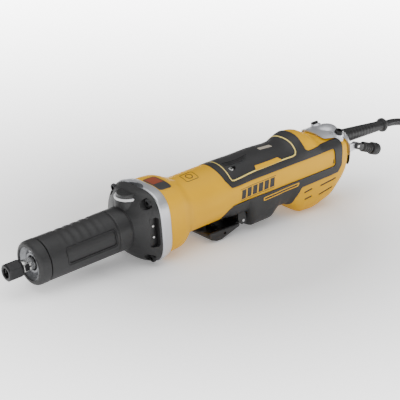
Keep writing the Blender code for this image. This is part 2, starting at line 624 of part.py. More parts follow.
def body_loft(name, grow, parent, overrun=0):
    rows = body_stations(grow)
    if overrun:
        rows[0] = (rows[0][0] - overrun, *rows[0][1:])
    return cutter(name, lofted(name, rows), parent)


def housing_half(name, side, parent):
    item = add(name, lofted(name, body_stations()), parent, "yellow")
    combine(item, body_loft(name + "_hollow", -WALL, parent, 0.002))
    low, high = sorted((side * GAP / 2, side * 0.080))
    keep = block(name + "_keep", (-0.1, low, -0.1), (HANDLE_REAR + 0.05, high, 0.1))
    combine(item, cutter(name + "_keep", keep, parent), "INTERSECT")
    plunger_hole = rod("plunger_passage", -0.050, -0.020, PLUNGER_RADIUS + 0.0008, "Z", (PLUNGER_X, 0, 0), 16)
    combine(item, cutter("plunger_passage", plunger_hole, parent))
    relief_hole = rod("relief_passage", HANDLE_REAR - 0.015, HANDLE_REAR + 0.02, RELIEF_ROOT_RADIUS + 0.0003,
                      "X", (0, 0, RELIEF_Z), 24)
    combine(item, cutter("relief_passage", relief_hole, parent))
    vents = [(0.0105, 0.0125, -0.0310), (0.0325, 0.0195, -0.0300),
             (0.0105, 0.0095, -0.0385), (0.0325, 0.0180, -0.0400)]
    for offset, length, z in vents:
        front = HEEL_X - 0.0185 + offset
        outline = rounded([(front, z - 0.0009), (front, z + 0.0009), (front + length, z + 0.0009),
                           (front + length, z - 0.0009)], 0.0008, 2)
        low, high = sorted((side * 0.015, side * 0.05))
        combine(item, cutter("vent_slot", prism("vent_slot", outline, low, high), parent))
    return item


def skin(name, outline, low, high, parent, kind="rubber", thickness=SKIN, plane="XZ"):
    """A layer over the housing inside an outline."""
    item = add(name, lofted(name, body_stations(thickness)), parent, kind)
    combine(item, body_loft(name + "_inside", SKIN_GAP, parent, 0.002))
    combine(item, cutter(name + "_outline", prism(name + "_outline", outline, low, high, plane), parent),
            "INTERSECT")
    return item


PANEL_JOIN = 0.0003
WINDOW_TOP = 0.0090
WINDOW_LOW = -0.0103
BAND_LOW = -0.0205


def saddle(parent):
    reach = 0.06
    outline = rounded([
        (HANDLE_START - 0.0030, reach), (HANDLE_START - 0.0025, 0.0290),
        (HANDLE_START + 0.0040, WINDOW_TOP + 0.001),
        (HEEL_X - 0.0080, WINDOW_TOP), (HEEL_X - 0.0020, 0.0160), (HEEL_X + 0.0110, 0.0240),
        (HEEL_X + 0.0165, reach)], 0.004)
    skin("saddle_grip", outline, -reach, reach, parent)


def side_band(name, side, parent):
    join = HEEL_X - 0.0080 + PANEL_JOIN
    rear = HANDLE_REAR - 0.0195
    outline = rounded([
        (join, WINDOW_TOP), (HEEL_X - 0.0020 + PANEL_JOIN, 0.0155), (rear - 0.0020, 0.0155), (rear, 0.0115),
        (rear - 0.0035, -0.0130), (rear - 0.0105, BAND_LOW), (HEEL_X - 0.0150, BAND_LOW),
        (HEEL_X - 0.0150, WINDOW_LOW), (rear - 0.0145, WINDOW_LOW), (rear - 0.0145, WINDOW_TOP)], 0.0018)
    low, high = sorted((side * 0.004, side * 0.06))
    skin(name, outline, low, high, parent)


def lower_grip(parent):
    start = HANDLE_START
    outline = rounded([
        (start - 0.0055, -0.0190), (start + 0.0010, -0.0115), (start + 0.0060, WINDOW_LOW + 0.001),
        (HEEL_X - 0.0150 - PANEL_JOIN, WINDOW_LOW), (HEEL_X - 0.0150 - PANEL_JOIN, BAND_LOW),
        (HEEL_X - 0.0220, -0.0310), (HEEL_X - 0.0270, -0.060), (start - 0.0055, -0.060)], 0.002)
    item = skin("lower_grip", outline, -0.06, 0.06, parent)
    passage = rod("skin_plunger_passage", -0.050, -0.020, PLUNGER_RADIUS + 0.0008, "Z", (PLUNGER_X, 0, 0), 16)
    combine(item, cutter("skin_plunger_passage", passage, parent))
    mount_room = block("mount_room", (MOUNT_FRONT - GAP, -MOUNT_HALF - GAP, -0.050),
                       (MOUNT_REAR + 0.002, MOUNT_HALF + GAP, -0.0200))
    combine(item, cutter("mount_room", mount_room, parent))


def rear_bracket(parent):
    """Cast plate over the top rear corner, with the tether eye on its back."""
    rear = HANDLE_REAR
    outline = rounded([
        (rear - 0.0420, 0.060), (rear - 0.0420, 0.0195), (rear - 0.0300, 0.0175), (rear - 0.0190, 0.0160),
        (rear - 0.0120, 0.0120), (rear - 0.0060, 0.0020), (rear - 0.0050, -0.0165), (rear + 0.010, -0.0165),
        (rear + 0.010, 0.060)], 0.003)
    item = skin("rear_bracket", outline, -0.06, 0.06, parent, "cast", BRACKET_SHEET)
    hole = rod("bracket_passage", rear - 0.015, rear + 0.02, RELIEF_ROOT_RADIUS + 0.0003, "X",
               (0, 0, RELIEF_Z), 24)
    eye_root = rear + BRACKET_SHEET - 0.0012
    eye = [(eye_root, TETHER_Z - 0.0045), (eye_root, TETHER_Z + 0.0045), (TETHER_X, TETHER_Z + 0.0038)]
    for step in range(1, 8):
        angle = math.pi / 2 - math.pi * step / 8
        eye.append((TETHER_X + 0.0038 * math.cos(angle), TETHER_Z + 0.0038 * math.sin(angle)))
    eye.append((TETHER_X, TETHER_Z - 0.0038))
    lug = prism("tether_eye", eye, TETHER_Y - 0.0015, TETHER_Y + 0.0015)
    combine(item, cutter("tether_eye", lug, parent), "UNION")
    combine(item, cutter("bracket_passage", hole, parent))
    eye_hole = rod("eye_hole", -0.005, 0.005, 0.0018 + GAP, "Y", (TETHER_X, TETHER_Y, TETHER_Z), 16)
    combine(item, cutter("eye_hole", eye_hole, parent))
    return item


def bracket_screw(name, side, parent, drilled):
    """A socket screw that leans outwards, standing on a boss of the bracket."""
    lean = math.radians(24) * side
    axis = pivot(name + "_axis", (BRACKET_SCREW_X, side * BRACKET_SCREW_Y, 0.0185), parent)
    axis.rotation_euler = (-lean, 0, 0)
    boss = rod(name + "_boss", -0.0015, 0.0022, 0.0058, "Z", steps=20)
    combine(drilled[0], cutter(name + "_boss", boss, axis), "UNION")
    for target in drilled:
        hole = rod(name + "_hole", -0.012, 0.004, SCREW_SHANK + GAP, "Z", steps=12)
        combine(target, cutter(name + "_hole", hole, axis))
    screw = pivot(name + "_seat", (0, 0, 0.0022), axis)
    screw.rotation_euler = (0, math.pi / 2, 0)
    pan_screw(name, screw, 0.0030, 0.0085)


def strain_relief(parent):
    """Tapered rubber sleeve with a rim at its tip, along its own axis from the bracket."""
    tip = RELIEF_LENGTH
    bore = CORD_RADIUS + GAP
    profile = [(0, bore), (0, RELIEF_ROOT_RADIUS), (0.004, RELIEF_ROOT_RADIUS),
               (tip - 0.0062, RELIEF_TIP_RADIUS), (tip - 0.0050, RELIEF_RIM_RADIUS - 0.0006),
               (tip - 0.0036, RELIEF_RIM_RADIUS), (tip - 0.0016, RELIEF_RIM_RADIUS),
               (tip, RELIEF_RIM_RADIUS - 0.0016), (tip, bore)]
    add("strain_relief", turned("strain_relief", profile), parent, "rubber")


def tether(parent):
    """Clevis, ribbed barrel and rubber cap that hang from the eye, along local X."""
    gap_y = 0.0015 + GAP
    outline = rounded([(-0.0036, -0.0036), (0.0095, -0.0036), (0.0095, 0.0036), (-0.0036, 0.0036)], 0.003)
    clevis = add("tether_clevis", prism("tether_clevis", outline, -0.0046, 0.0046), parent, "black")
    slot = block("clevis_slot", (-0.010, -gap_y, -0.010), (0.0048, gap_y, 0.010))
    combine(clevis, cutter("clevis_slot", slot, parent))
    pin_hole = rod("clevis_hole", -0.010, 0.010, 0.0018 + GAP, "Y", steps=16)
    combine(clevis, cutter("clevis_hole", pin_hole, parent))
    add("tether_pin", rod("tether_pin", -0.0050, 0.0050, 0.0018, "Y", steps=16), parent, "steel")
    ribs = 4
    start = 0.0098
    pitch = 0.0035
    profile = [(start, 0), (start, 0.0046)]
    for rib in range(ribs):
        along = start + 0.0008 + pitch * rib
        profile += [(along, 0.0050), (along + 0.0005, 0.0057), (along + pitch * 0.62, 0.0057),
                    (along + pitch * 0.76, 0.0050)]
    barrel_end = start + 0.0008 + pitch * ribs
    profile += [(barrel_end, 0.0050), (barrel_end, 0)]
    swivel = pivot("tether_swivel_axis", (0, 0, 0), parent)
    add("tether_barrel", turned("tether_barrel", profile, steps=20), swivel, "rubber")
    cap = barrel_end + GAP
    profile = [(cap, 0), (cap, 0.0062), (cap + 0.001, 0.0070), (cap + 0.0085, 0.0070), (cap + 0.0110, 0.0060),
               (cap + 0.0124, 0.0040), (cap + 0.0124, 0)]
    add("tether_cap", turned("tether_cap", profile, steps=20), swivel, "rubber")


# ---- paddle switch -----------------------------------------------------------------------
PLUNGER_RADIUS = 0.0022
MOUNT_FRONT = PADDLE_PIVOT_X - 0.0070
MOUNT_REAR = PADDLE_PIVOT_X + 0.0035
MOUNT_HALF = 0.0200
HINGE_HALF = 0.0158
HINGE_BARREL = 0.0032
PIN_RADIUS = 0.0015
LEVER_X = -0.0270            # lock-off lever pin from the paddle hinge
LEVER_Z = -0.0046
LEVER_PIN_RADIUS = 0.0012


def paddle_mount(parent):
    top, foot = PADDLE_PIVOT_Z + 0.0095, PADDLE_PIVOT_Z - 0.0035
    lugs = [(MOUNT_FRONT, top), (MOUNT_FRONT, PADDLE_PIVOT_Z + 0.0025), (PADDLE_PIVOT_X - 0.0030, foot),
            (MOUNT_REAR, foot), (MOUNT_REAR, top)]
    item = add("paddle_mount", prism("paddle_mount", lugs, -MOUNT_HALF, MOUNT_HALF), parent, "black")
    inner = HINGE_HALF + 0.0005
    room = block("hinge_room", (MOUNT_FRONT - 0.001, -inner, PADDLE_PIVOT_Z - 0.015),
                 (MOUNT_REAR + 0.001, inner, PADDLE_PIVOT_Z + HINGE_BARREL + 0.0006))
    combine(item, cutter("hinge_room", room, parent))
    combine(item, body_loft("mount_seat", GAP, parent))
    centre = (PADDLE_PIVOT_X, 0, PADDLE_PIVOT_Z)
    pin_hole = rod("mount_pin_hole", -0.03, 0.03, PIN_RADIUS + GAP, "Y", centre, 16)
    combine(item, cutter("mount_pin_hole", pin_hole, parent))
    pin = rod("paddle_pin", -MOUNT_HALF, MOUNT_HALF, PIN_RADIUS, "Y", centre, 16)
    add("paddle_pin", pin, parent, "steel")


TRAY_REAR = (-0.0040, -0.0018)


def tray_front():
    return (-PADDLE_LENGTH + 0.0130, -PADDLE_TIP_DROP - 0.0003 + PADDLE_SHEET)


def tray_floor(x):
    """Height of the paddle's inner face, from its hinge."""
    (x0, z0), (x1, z1) = tray_front(), TRAY_REAR
    return z0 + (z1 - z0) * (x - x0) / (x1 - x0)


def paddle(parent):
    """Lever in hinge coordinates: a tray with cheeks, a curled tip and a hinge barrel."""
    tip, drop, sheet = -PADDLE_LENGTH, -PADDLE_TIP_DROP, PADDLE_SHEET
    wide = [(tip - 0.0035, 0.0010), (tip - 0.0030, -0.0040), (tip, drop + 0.0030),
            (tip + 0.0065, drop + 0.0002), (tip + 0.0130, drop - 0.0003), (-0.0062, -0.0038),
            (-0.0062, -0.0004)]
    item = add("paddle", prism("paddle", wide, -PADDLE_HALF_WIDTH, PADDLE_HALF_WIDTH), parent, "black")
    inside = [(tip - 0.0035 + sheet, 0.0050), (tip - 0.0028 + sheet, -0.0035),
              (tip + sheet * 0.9, drop + 0.0044), (tip + 0.0070, drop + sheet), tray_front(), TRAY_REAR,
              (TRAY_REAR[0], 0.0050)]
    tray = prism("paddle_tray", inside, -PADDLE_HALF_WIDTH + sheet, PADDLE_HALF_WIDTH - sheet)
    combine(item, cutter("paddle_tray", tray, parent))
    tongue = [(-0.0075, -0.00345), (-0.0075, -0.0016), (0, 0.0012), (0, -0.0033)]
    web = prism("paddle_tongue", tongue, -HINGE_HALF, HINGE_HALF)
    combine(item, cutter("paddle_tongue", web, parent), "UNION")
    pressed = pivot("paddle_pressed", (0, 0, 0), parent)
    pressed.rotation_euler = (0, -PADDLE_TRAVEL, 0)
    reach = pivot("handle_from_pressed_paddle", (-PADDLE_PIVOT_X, 0, -PADDLE_PIVOT_Z), pressed)
    combine(item, body_loft("paddle_clearance", 0.0005, reach))
    barrel = rod("paddle_barrel", -HINGE_HALF, HINGE_HALF, HINGE_BARREL, "Y", steps=20)
    combine(item, cutter("paddle_barrel", barrel, parent), "UNION")
    for side in (-1, 1):
        low, high = sorted((side * 0.0052, side * 0.0070))
        corners = [(LEVER_X - 0.0028, -0.0102), (LEVER_X - 0.0024, LEVER_Z + 0.0022),
                   (LEVER_X + 0.0024, LEVER_Z + 0.0022), (LEVER_X + 0.0032, -0.0080)]
        ear = prism("lever_ear", corners, low, high)
        combine(item, cutter("lever_ear", ear, parent), "UNION")
    slot = block("lever_slot", (LEVER_X - 0.0030, -0.0048, -0.0150), (LEVER_X + 0.0055, 0.0048, -0.0050))
    combine(item, cutter("lever_slot", slot, parent))
    bores = [("hinge_bore", 0, 0, PIN_RADIUS), ("lever_bore", LEVER_X, LEVER_Z, LEVER_PIN_RADIUS)]
    for name, x, z, radius in bores:
        bore = rod(name, -0.03, 0.03, radius + GAP, "Y", (x, 0, z), 16)
        combine(item, cutter(name, bore, parent))
    lever_pin = rod("lever_pin", -0.0070, 0.0070, LEVER_PIN_RADIUS, "Y", (LEVER_X, 0, LEVER_Z), 12)
    add("lever_pin", lever_pin, parent, "steel")


def lock_off_lever(parent):
    """Small finger lever in its own pin's coordinates; its toe shows under the paddle."""
    outline = [(-0.0024, 0.0016), (-0.0028, -0.0030), (-0.0016, -0.0068), (0.0014, -0.0068),
               (0.0026, -0.0030), (0.0026, 0.0012), (0.0012, 0.0040), (-0.0018, 0.0040)]
    item = add("lock_off_lever", prism("lock_off_lever", rounded(outline, 0.0012, 2), -0.0044, 0.0044),
               parent, "black")
    hole = rod("lever_hole", -0.01, 0.01, LEVER_PIN_RADIUS + GAP, "Y", steps=12)
    combine(item, cutter("lever_hole", hole, parent))


def switch(housing, plunger_parent):
    floor = -0.0252
    body = block("switch_body", (PLUNGER_X - 0.0035, -0.0095, floor),
                 (PLUNGER_X + 0.0140, 0.0095, -0.0060), 0.0006)
    item = add("switch_body", body, housing, "black")
    bore = rod("switch_bore", -0.030, floor + 0.0085, PLUNGER_RADIUS + GAP, "Z", (PLUNGER_X, 0, 0), 16)
    combine(item, cutter("switch_bore", bore, housing))
    low = PADDLE_PIVOT_Z + tray_floor(PLUNGER_X - PADDLE_PIVOT_X) + 0.25 * PLUNGER_RADIUS + GAP
    plunger = rod("switch_plunger", low, floor + 0.0045, PLUNGER_RADIUS, "Z", steps=16, chamfer=0.0006)
    add("switch_plunger", plunger, plunger_parent, "black")


def control_module(parent):
    box = block("control_module", (HEEL_X - 0.0060, -0.0175, -0.0420),
                (HEEL_X + 0.0270, 0.0175, -0.0150), 0.002)
    add("control_module", box, parent, "black")


# ---- cord --------------------------------------------------------------------------------
# The route runs from the tip of the strain relief, in world directions, to the coil's side.
CORD_ROUTE = [
    (0.0003, 0, 0), (0.014, 0, -0.0004), (0.030, 0.0005, -0.0035), (0.048, 0.0026, -0.0115),
    (0.066, 0.0060, -0.0245), (0.084, 0.0120, -0.0385), (0.102, 0.0215, -0.0505), (0.120, 0.0318, -0.0585),
    (0.133, 0.0353, -0.0612), (0.145, 0.0364, -0.0620)]
COIL_HEIGHT = 0.0250


def smooth_route(points, step):
    """Points about one step apart on a Catmull-Rom curve through the route."""
    ends = [2 * points[0] - points[1]] + points + [2 * points[-1] - points[-2]]
    path = [points[0]]
    for a, b, c, d in zip(ends, ends[1:], ends[2:], ends[3:]):
        count = max(1, round((c - b).length / step))
        for number in range(1, count + 1):
            t = number / count
            path.append(0.5 * (2 * b + (c - a) * t + (2 * a - 5 * b + 4 * c - d) * t * t
                               + (3 * b - a - 3 * c + d) * t ** 3))
    return path


def cord(exit_point):
    route = [exit_point + Vector(offset) for offset in CORD_ROUTE]
    path = smooth_route(route, 2.4 * 2 * CORD_RADIUS)
    curve = bpy.data.curves.new("cord_tube", "CURVE")
    curve.dimensions = "3D"
    curve.bevel_depth = CORD_RADIUS
    curve.bevel_resolution = 3
    curve.use_fill_caps = True
    line = curve.splines.new("POLY")
    line.points.add(len(path) - 1)
    for point, place in zip(line.points, path):
        point.co = (*place, 1)
    colour, roughness, metallic = FINISHES["rubber"]
    curve.materials.append(finish("cord_tube_rubber", colour, roughness, metallic))
    item = bpy.data.objects.new("cord_tube", curve)
    bpy.context.scene.collection.objects.link(item)

    outer = COIL_TURN_RADIUS + COIL_BUILD
    inner = COIL_TURN_RADIUS - COIL_BUILD
    centre = route[-1] + Vector((0, -outer - CORD_RADIUS - GAP, 0))
    soft = 0.004
    profile = [(0.0002, inner + soft), (0.0002, outer - soft), (soft, outer), (COIL_HEIGHT - soft, outer),
               (COIL_HEIGHT, outer - soft), (COIL_HEIGHT, inner + soft), (COIL_HEIGHT - soft, inner),
               (soft, inner)]
    ring = turned("cord_coil", profile, "Z", (centre.x, centre.y, 0))
    add("cord_coil", ring, None, "rubber")
    return centre


def plug(coil_centre):
    """Two-blade plug that lies on the coil, in line with the turn that ends in it."""
    place = pivot("plug_place", coil_centre + Vector(PLUG_OFFSET), None)
    place.location.z = COIL_HEIGHT + GAP
    place.rotation_euler = (0, 0, PLUG_TURN)
    half, tail = PLUG_LENGTH / 2, 0.010
    wide = PLUG_WIDTH / 2
    outline = rounded([(-0.0045, -half - tail), (0.0045, -half - tail), (wide - 0.004, -half + 0.002),
                       (wide, half), (-wide, half), (-wide + 0.004, -half + 0.002)], 0.002, 2)
    add("plug_body", prism("plug_body", outline, 0, PLUG_HEIGHT, "XY"), place, "rubber")
    middle = PLUG_HEIGHT / 2
    for name, side in (("plug_blade_left", -1), ("plug_blade_right", 1)):
        x = side * BLADE_SPACING / 2
        blade = block(name, (x - 0.00075, half + GAP, middle - 0.00315),
                      (x + 0.00075, half + 0.0175, middle + 0.00315), 0.0002)
        add(name, blade, place, "brass")


# ---- assembly ----------------------------------------------------------------------------
def clear_scene():
    for item in list(bpy.data.objects):
        bpy.data.objects.remove(item)


def build():
    clear_scene()
    tilt = math.atan(REST_SLOPE)
    relief_x = HANDLE_REAR + BRACKET_SHEET + GAP
    front = NUT_FRONT * math.cos(tilt) - NUT_FACE_RADIUS * math.sin(tilt)
    rear = relief_x * math.cos(tilt) - RELIEF_Z * math.sin(tilt) + RELIEF_LENGTH
    lift = RING_HALF * math.cos(tilt) - RING_EDGE_X * math.sin(tilt)
    tool = pivot("tool", (-(front + rear) / 2, 0, lift), None)
    tool.rotation_euler = (0, -tilt, 0)

    spin = pivot("spindle_axis", (0, 0, 0), tool)
    nut_axis = pivot("nut_axis", (0, 0, 0), spin)
    collet_nut(nut_axis)
    collet(spin)
    spindle(spin)
    lock_hub(spin)
    bearing("front_bearing", NECK_FRONT + 0.0008, BEARING_WIDTH, SPINDLE_RADIUS, FRONT_BEARING_RADIUS, tool)
    bearing("rear_bearing", COLLAR_REAR - 0.0125, BEARING_WIDTH, SPINDLE_RADIUS, REAR_BEARING_RADIUS, tool)
    bearing_cap(tool)
    nose_ring(tool)
    grip_sleeve(tool)
    gear_case(tool)
    for name, (y, z) in zip(("upper_left", "upper_right", "lower_left", "lower_right"), screw_places()):
        pan_screw("flange_screw_" + name, tool, 0.0030, 0.0088, (0, y, z))
    spindle_lock(pivot("lock_axis", (LOCK_X, 0, 0), tool), tool)
    flange_ring(tool)
    motor(spin, tool)

    left = housing_half("housing_left", -1, tool)
    right = housing_half("housing_right", 1, tool)
    saddle(tool)
    side_band("side_band_left", -1, tool)
    side_band("side_band_right", 1, tool)
    lower_grip(tool)
    bracket = rear_bracket(tool)
    bracket_screw("bracket_screw_left", -1, tool, [bracket, left])
    bracket_screw("bracket_screw_right", 1, tool, [bracket, right])

    paddle_mount(tool)
    hinge = pivot("paddle_hinge", (PADDLE_PIVOT_X, 0, PADDLE_PIVOT_Z), tool)
    paddle(hinge)
    lock_off_lever(pivot("lever_hinge", (LEVER_X, 0, LEVER_Z), hinge))
    switch(tool, pivot("plunger_axis", (PLUNGER_X, 0, 0), tool))
    control_module(tool)

    relief = pivot("relief_root", (relief_x, 0, RELIEF_Z), tool)
    relief.rotation_euler = (0, tilt, 0)
    strain_relief(relief)
    tether_hinge = pivot("tether_hinge", (TETHER_X, TETHER_Y, TETHER_Z), tool)
    tether_hinge.rotation_euler = (0, TETHER_DROOP, 0)
    tether(tether_hinge)

    bpy.context.view_layer.update()
    plug(cord(relief.matrix_world @ Vector((RELIEF_LENGTH, 0, 0))))


build()
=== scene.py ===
import json
import math

import bmesh
import bpy
from mathutils import Matrix, Vector


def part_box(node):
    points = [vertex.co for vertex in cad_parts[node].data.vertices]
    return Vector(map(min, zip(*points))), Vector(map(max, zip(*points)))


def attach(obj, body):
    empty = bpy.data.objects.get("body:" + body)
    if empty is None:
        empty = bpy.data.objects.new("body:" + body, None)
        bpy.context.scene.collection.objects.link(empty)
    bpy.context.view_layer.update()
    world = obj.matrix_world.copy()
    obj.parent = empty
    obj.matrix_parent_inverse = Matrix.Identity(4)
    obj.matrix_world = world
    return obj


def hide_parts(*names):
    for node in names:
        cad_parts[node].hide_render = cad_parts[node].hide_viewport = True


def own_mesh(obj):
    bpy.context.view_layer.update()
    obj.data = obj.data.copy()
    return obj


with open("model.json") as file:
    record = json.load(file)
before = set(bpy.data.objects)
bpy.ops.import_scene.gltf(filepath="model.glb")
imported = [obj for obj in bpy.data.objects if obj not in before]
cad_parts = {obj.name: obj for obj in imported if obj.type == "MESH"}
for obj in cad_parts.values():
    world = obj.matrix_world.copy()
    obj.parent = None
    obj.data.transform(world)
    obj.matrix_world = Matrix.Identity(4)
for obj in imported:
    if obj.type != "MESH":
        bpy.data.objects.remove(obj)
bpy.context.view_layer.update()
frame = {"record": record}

# ---- where the tool lies -------------------------------------------------------------------------
# Everything on the tool is built along its spindle: +X to the rear, z up through the lock
# button, and zero at the heads of the flange screws. The tool rests nose down on the floor.
spin = next(joint for joint in frame["record"]["behaviour"]["joints"] if joint["name"] == "spindle_spin")
along = Vector(spin["axis"])
across = Vector((0, 1, 0))
TOOL = Matrix.Translation(spin["pos_m"]) @ Matrix((along, across, along.cross(across))).transposed().to_4x4()

# ---- camera --------------------------------------------------------------------------------------
# A long lens, well back from the nose on the tool's left side and a little above it.
sight = Vector((-0.5932, -0.7191, 0.3619)).normalized()
target = Vector((-0.0453, -0.0354, 0.0589))
camera = bpy.data.objects.new("camera", bpy.data.cameras.new("camera"))
camera.data.sensor_width = 36
camera.data.lens = 132.6
camera.data.clip_start = 0.05
camera.location = target + sight * 1.4667
camera.rotation_euler = sight.to_track_quat("Z", "Y").to_euler()
bpy.context.scene.collection.objects.link(camera)
bpy.context.scene.camera = camera


# ---- mains cord ----------------------------------------------------------------------------------
# A two-core rubber cord, 8.2 mm across and 2.4 m long, that leaves the strain relief, drops
# to the bench and is wound in seven and a half turns beside it for storage.
def hexed(code):
    channels = [int(code[i:i + 2], 16) / 255 for i in (1, 3, 5)]
    return (*[c / 12.92 if c <= 0.04045 else ((c + 0.055) / 1.055) ** 2.4 for c in channels], 1)


def add_node(tree, kind, inputs=None, **settings):
    """One shader node with its settings, and a value or a link for each input."""
    item = tree.nodes.new("ShaderNode" + kind)
    for name, value in settings.items():
        setattr(item, name, value)
    for name, value in (inputs or {}).items():
        if isinstance(value, bpy.types.NodeSocket):
            tree.links.new(value, item.inputs[name])
        else:
            item.inputs[name].default_value = value
    return item


def moulded(name, colour, deep, roughness, grain_mm, depth_mm):
    """Moulded plastic or rubber: a slow drift between two close shades over a spark-eroded grain."""
    spread = 0.06
    material = bpy.data.materials.new(name)
    material.use_nodes = True
    tree = material.node_tree
    shader = tree.nodes["Principled BSDF"]
    place = add_node(tree, "TexCoord").outputs["Object"]
    drift = add_node(tree, "TexNoise", {"Vector": place, "Scale": 38, "Detail": 3})
    shade = add_node(tree, "Mix", {0: drift.outputs["Fac"], 6: hexed(deep), 7: hexed(colour)},
                     data_type="RGBA")
    grain = add_node(tree, "TexNoise", {"Vector": place, "Scale": 1000 / grain_mm, "Detail": 2})
    gloss = add_node(tree, "MapRange", {"Value": grain.outputs["Fac"], "From Min": 0.3, "From Max": 0.7,
                                        "To Min": roughness - spread, "To Max": roughness + spread})
    bump = add_node(tree, "Bump", {"Height": grain.outputs["Fac"], "Strength": 0.6,
                                   "Distance": depth_mm / 1000})
    tree.links.new(shade.outputs[2], shader.inputs["Base Color"])
    tree.links.new(gloss.outputs["Result"], shader.inputs["Roughness"])
    tree.links.new(bump.outputs["Normal"], shader.inputs["Normal"])
    shader.inputs["IOR"].default_value = 1.5
    return material


# Extruded rubber jacket: dull black with a soft sheen along its length.
cord_rubber = moulded("extruded_rubber_jacket", "#1E1E1F", "#171718", 0.50, 1.2, 0.02)

relief_low, relief_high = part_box("strain_relief")
cord_exit = Vector((relief_high[0], 0, (relief_low[2] + relief_high[2]) / 2))
CORD = 0.0041
cord_route = [
    (0.0003, 0, 0), (0.014, 0, -0.0004), (0.030, 0.0005, -0.0035), (0.048, 0.0026, -0.0115),
    (0.066, 0.0060, -0.0245), (0.084, 0.0120, -0.0385), (0.102, 0.0215, -0.0505), (0.120, 0.0318, -0.0585),
    (0.133, 0.0353, -0.0612), (0.145, 0.0364, -0.0620)]


def smooth_route(points, step):
    """Points about one step apart on a Catmull-Rom curve through the route."""
    ends = [2 * points[0] - points[1]] + points + [2 * points[-1] - points[-2]]
    path = [points[0]]
    for a, b, c, d in zip(ends, ends[1:], ends[2:], ends[3:]):
        count = max(1, round((c - b).length / step))
        for number in range(1, count + 1):
            t = number / count
            path.append(0.5 * (2 * b + (c - a) * t + (2 * a - 5 * b + 4 * c - d) * t * t
                               + (3 * b - a - 3 * c + d) * t ** 3))
    return path


cord_path = smooth_route([cord_exit + Vector(offset) for offset in cord_route], 0.005)
# The coil's middle from the foot of the drop, its widest and its lowest turn, and the number of turns.
COIL_REACH, WIDEST, LOWEST, TURNS, TAIL_RISE = 0.0629, 0.0542, 0.0044, 7.60, 0.0118
coil_centre = cord_path[-1] + Vector((0, -COIL_REACH, 0))
pitch = 2 * CORD + 0.00005
turn_radii = [WIDEST, WIDEST - pitch, WIDEST - 2 * pitch, WIDEST - 2 * pitch, WIDEST - pitch, WIDEST,
              WIDEST, WIDEST - 1.5 * pitch]
turn_heights = [LOWEST, LOWEST, LOWEST, LOWEST + pitch, LOWEST + pitch, LOWEST + pitch,
                LOWEST + 2 * pitch, LOWEST + 2 * pitch]


def ease(value):
    value = min(1, max(0, value))
    return value * value * (3 - 2 * value)


# Each turn keeps its own radius and shifts to the next one in the last sixth of the way round.
coil_steps = 48
for step in range(1, int(TURNS * coil_steps)):
    turn, share = divmod(step / coil_steps, 1)
    shift = ease((share - 0.80) / 0.20)
    here, after = int(turn), min(int(turn) + 1, 7)
    radius = turn_radii[here] + (turn_radii[after] - turn_radii[here]) * shift
    height = turn_heights[here] + (turn_heights[after] - turn_heights[here]) * shift
    if here == 0:
        radius += (COIL_REACH - WIDEST) * (1 - ease(share / 0.22))
    if here == 7:
        height += TAIL_RISE * ease(share / 0.58)
    angle = 2 * math.pi * share
    cord_path.append(Vector((coil_centre.x + radius * math.sin(angle),
                             coil_centre.y + radius * math.cos(angle), height)))

curve = bpy.data.curves.new("cord", "CURVE")
curve.dimensions = "3D"
curve.bevel_depth = CORD
curve.bevel_resolution = 5
curve.use_fill_caps = True
line = curve.splines.new("POLY")
line.points.add(len(cord_path) - 1)
for point, place in zip(line.points, cord_path):
    point.co = (*place, 1)
line.use_smooth = True
curve.materials.append(cord_rubber)
cord = bpy.data.objects.new("cord", curve)
bpy.context.scene.collection.objects.link(cord)
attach(cord, "tool")
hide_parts("cord_tube", "cord_coil")


# ---- plug ----------------------------------------------------------------------------------------
# A moulded two-blade plug, one piece with its cord, that lies on the coil. Its stamped brass
# blades stay as they are and get their metal.
def piece(name, mesh, material, body, stands_for=(), place=TOOL, smooth=35):
    """Put a mesh in the scene as one piece that moves with a body of the tool."""
    mesh.transform(place)
    bm = bmesh.new()
    bm.from_mesh(mesh)
    bmesh.ops.remove_doubles(bm, verts=bm.verts, dist=2e-6)
    bmesh.ops.holes_fill(bm, edges=[edge for edge in bm.edges if edge.is_boundary], sides=8)
    bm.to_mesh(mesh)
    bm.free()
    mesh.materials.clear()
    mesh.materials.append(material)
    mesh.shade_smooth()
    mesh.set_sharp_from_angle(angle=math.radians(smooth))
    item = bpy.data.objects.new(name, mesh)
    bpy.context.scene.collection.objects.link(item)
    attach(item, body)
    if stands_for:
        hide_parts(*stands_for)
    return item


def closed_mesh(bm):
    bmesh.ops.remove_doubles(bm, verts=bm.verts, dist=1e-7)
    bmesh.ops.recalc_face_normals(bm, faces=bm.faces)
    mesh = bpy.data.meshes.new("form")
    bm.to_mesh(mesh)
    bm.free()
    return mesh


def rounded(points, radius, steps=5):
    """Round each corner of a polygon with an arc that touches both of its sides."""
    outline = []
    for before, corner, after in zip(points[-1:] + points[:-1], points, points[1:] + points[:1]):
        to_before = (Vector(before) - Vector(corner)).normalized()
        to_after = (Vector(after) - Vector(corner)).normalized()
        half = to_before.angle(to_after) / 2
        reach = min(radius / math.tan(half), (Vector(before) - Vector(corner)).length * 0.45,
                    (Vector(after) - Vector(corner)).length * 0.45)
        true_radius = reach * math.tan(half)
        centre = Vector(corner) + (to_before + to_after).normalized() * (true_radius / math.sin(half))
        first = Vector(corner) + to_before * reach - centre
        last = Vector(corner) + to_after * reach - centre
        turn = math.atan2(first.x * last.y - first.y * last.x, first.dot(last))
        for step in range(steps + 1):
            arm = first.copy()
            arm.rotate(Matrix.Rotation(turn * step / steps, 2))
            outline.append(tuple(centre + arm))
    return outline


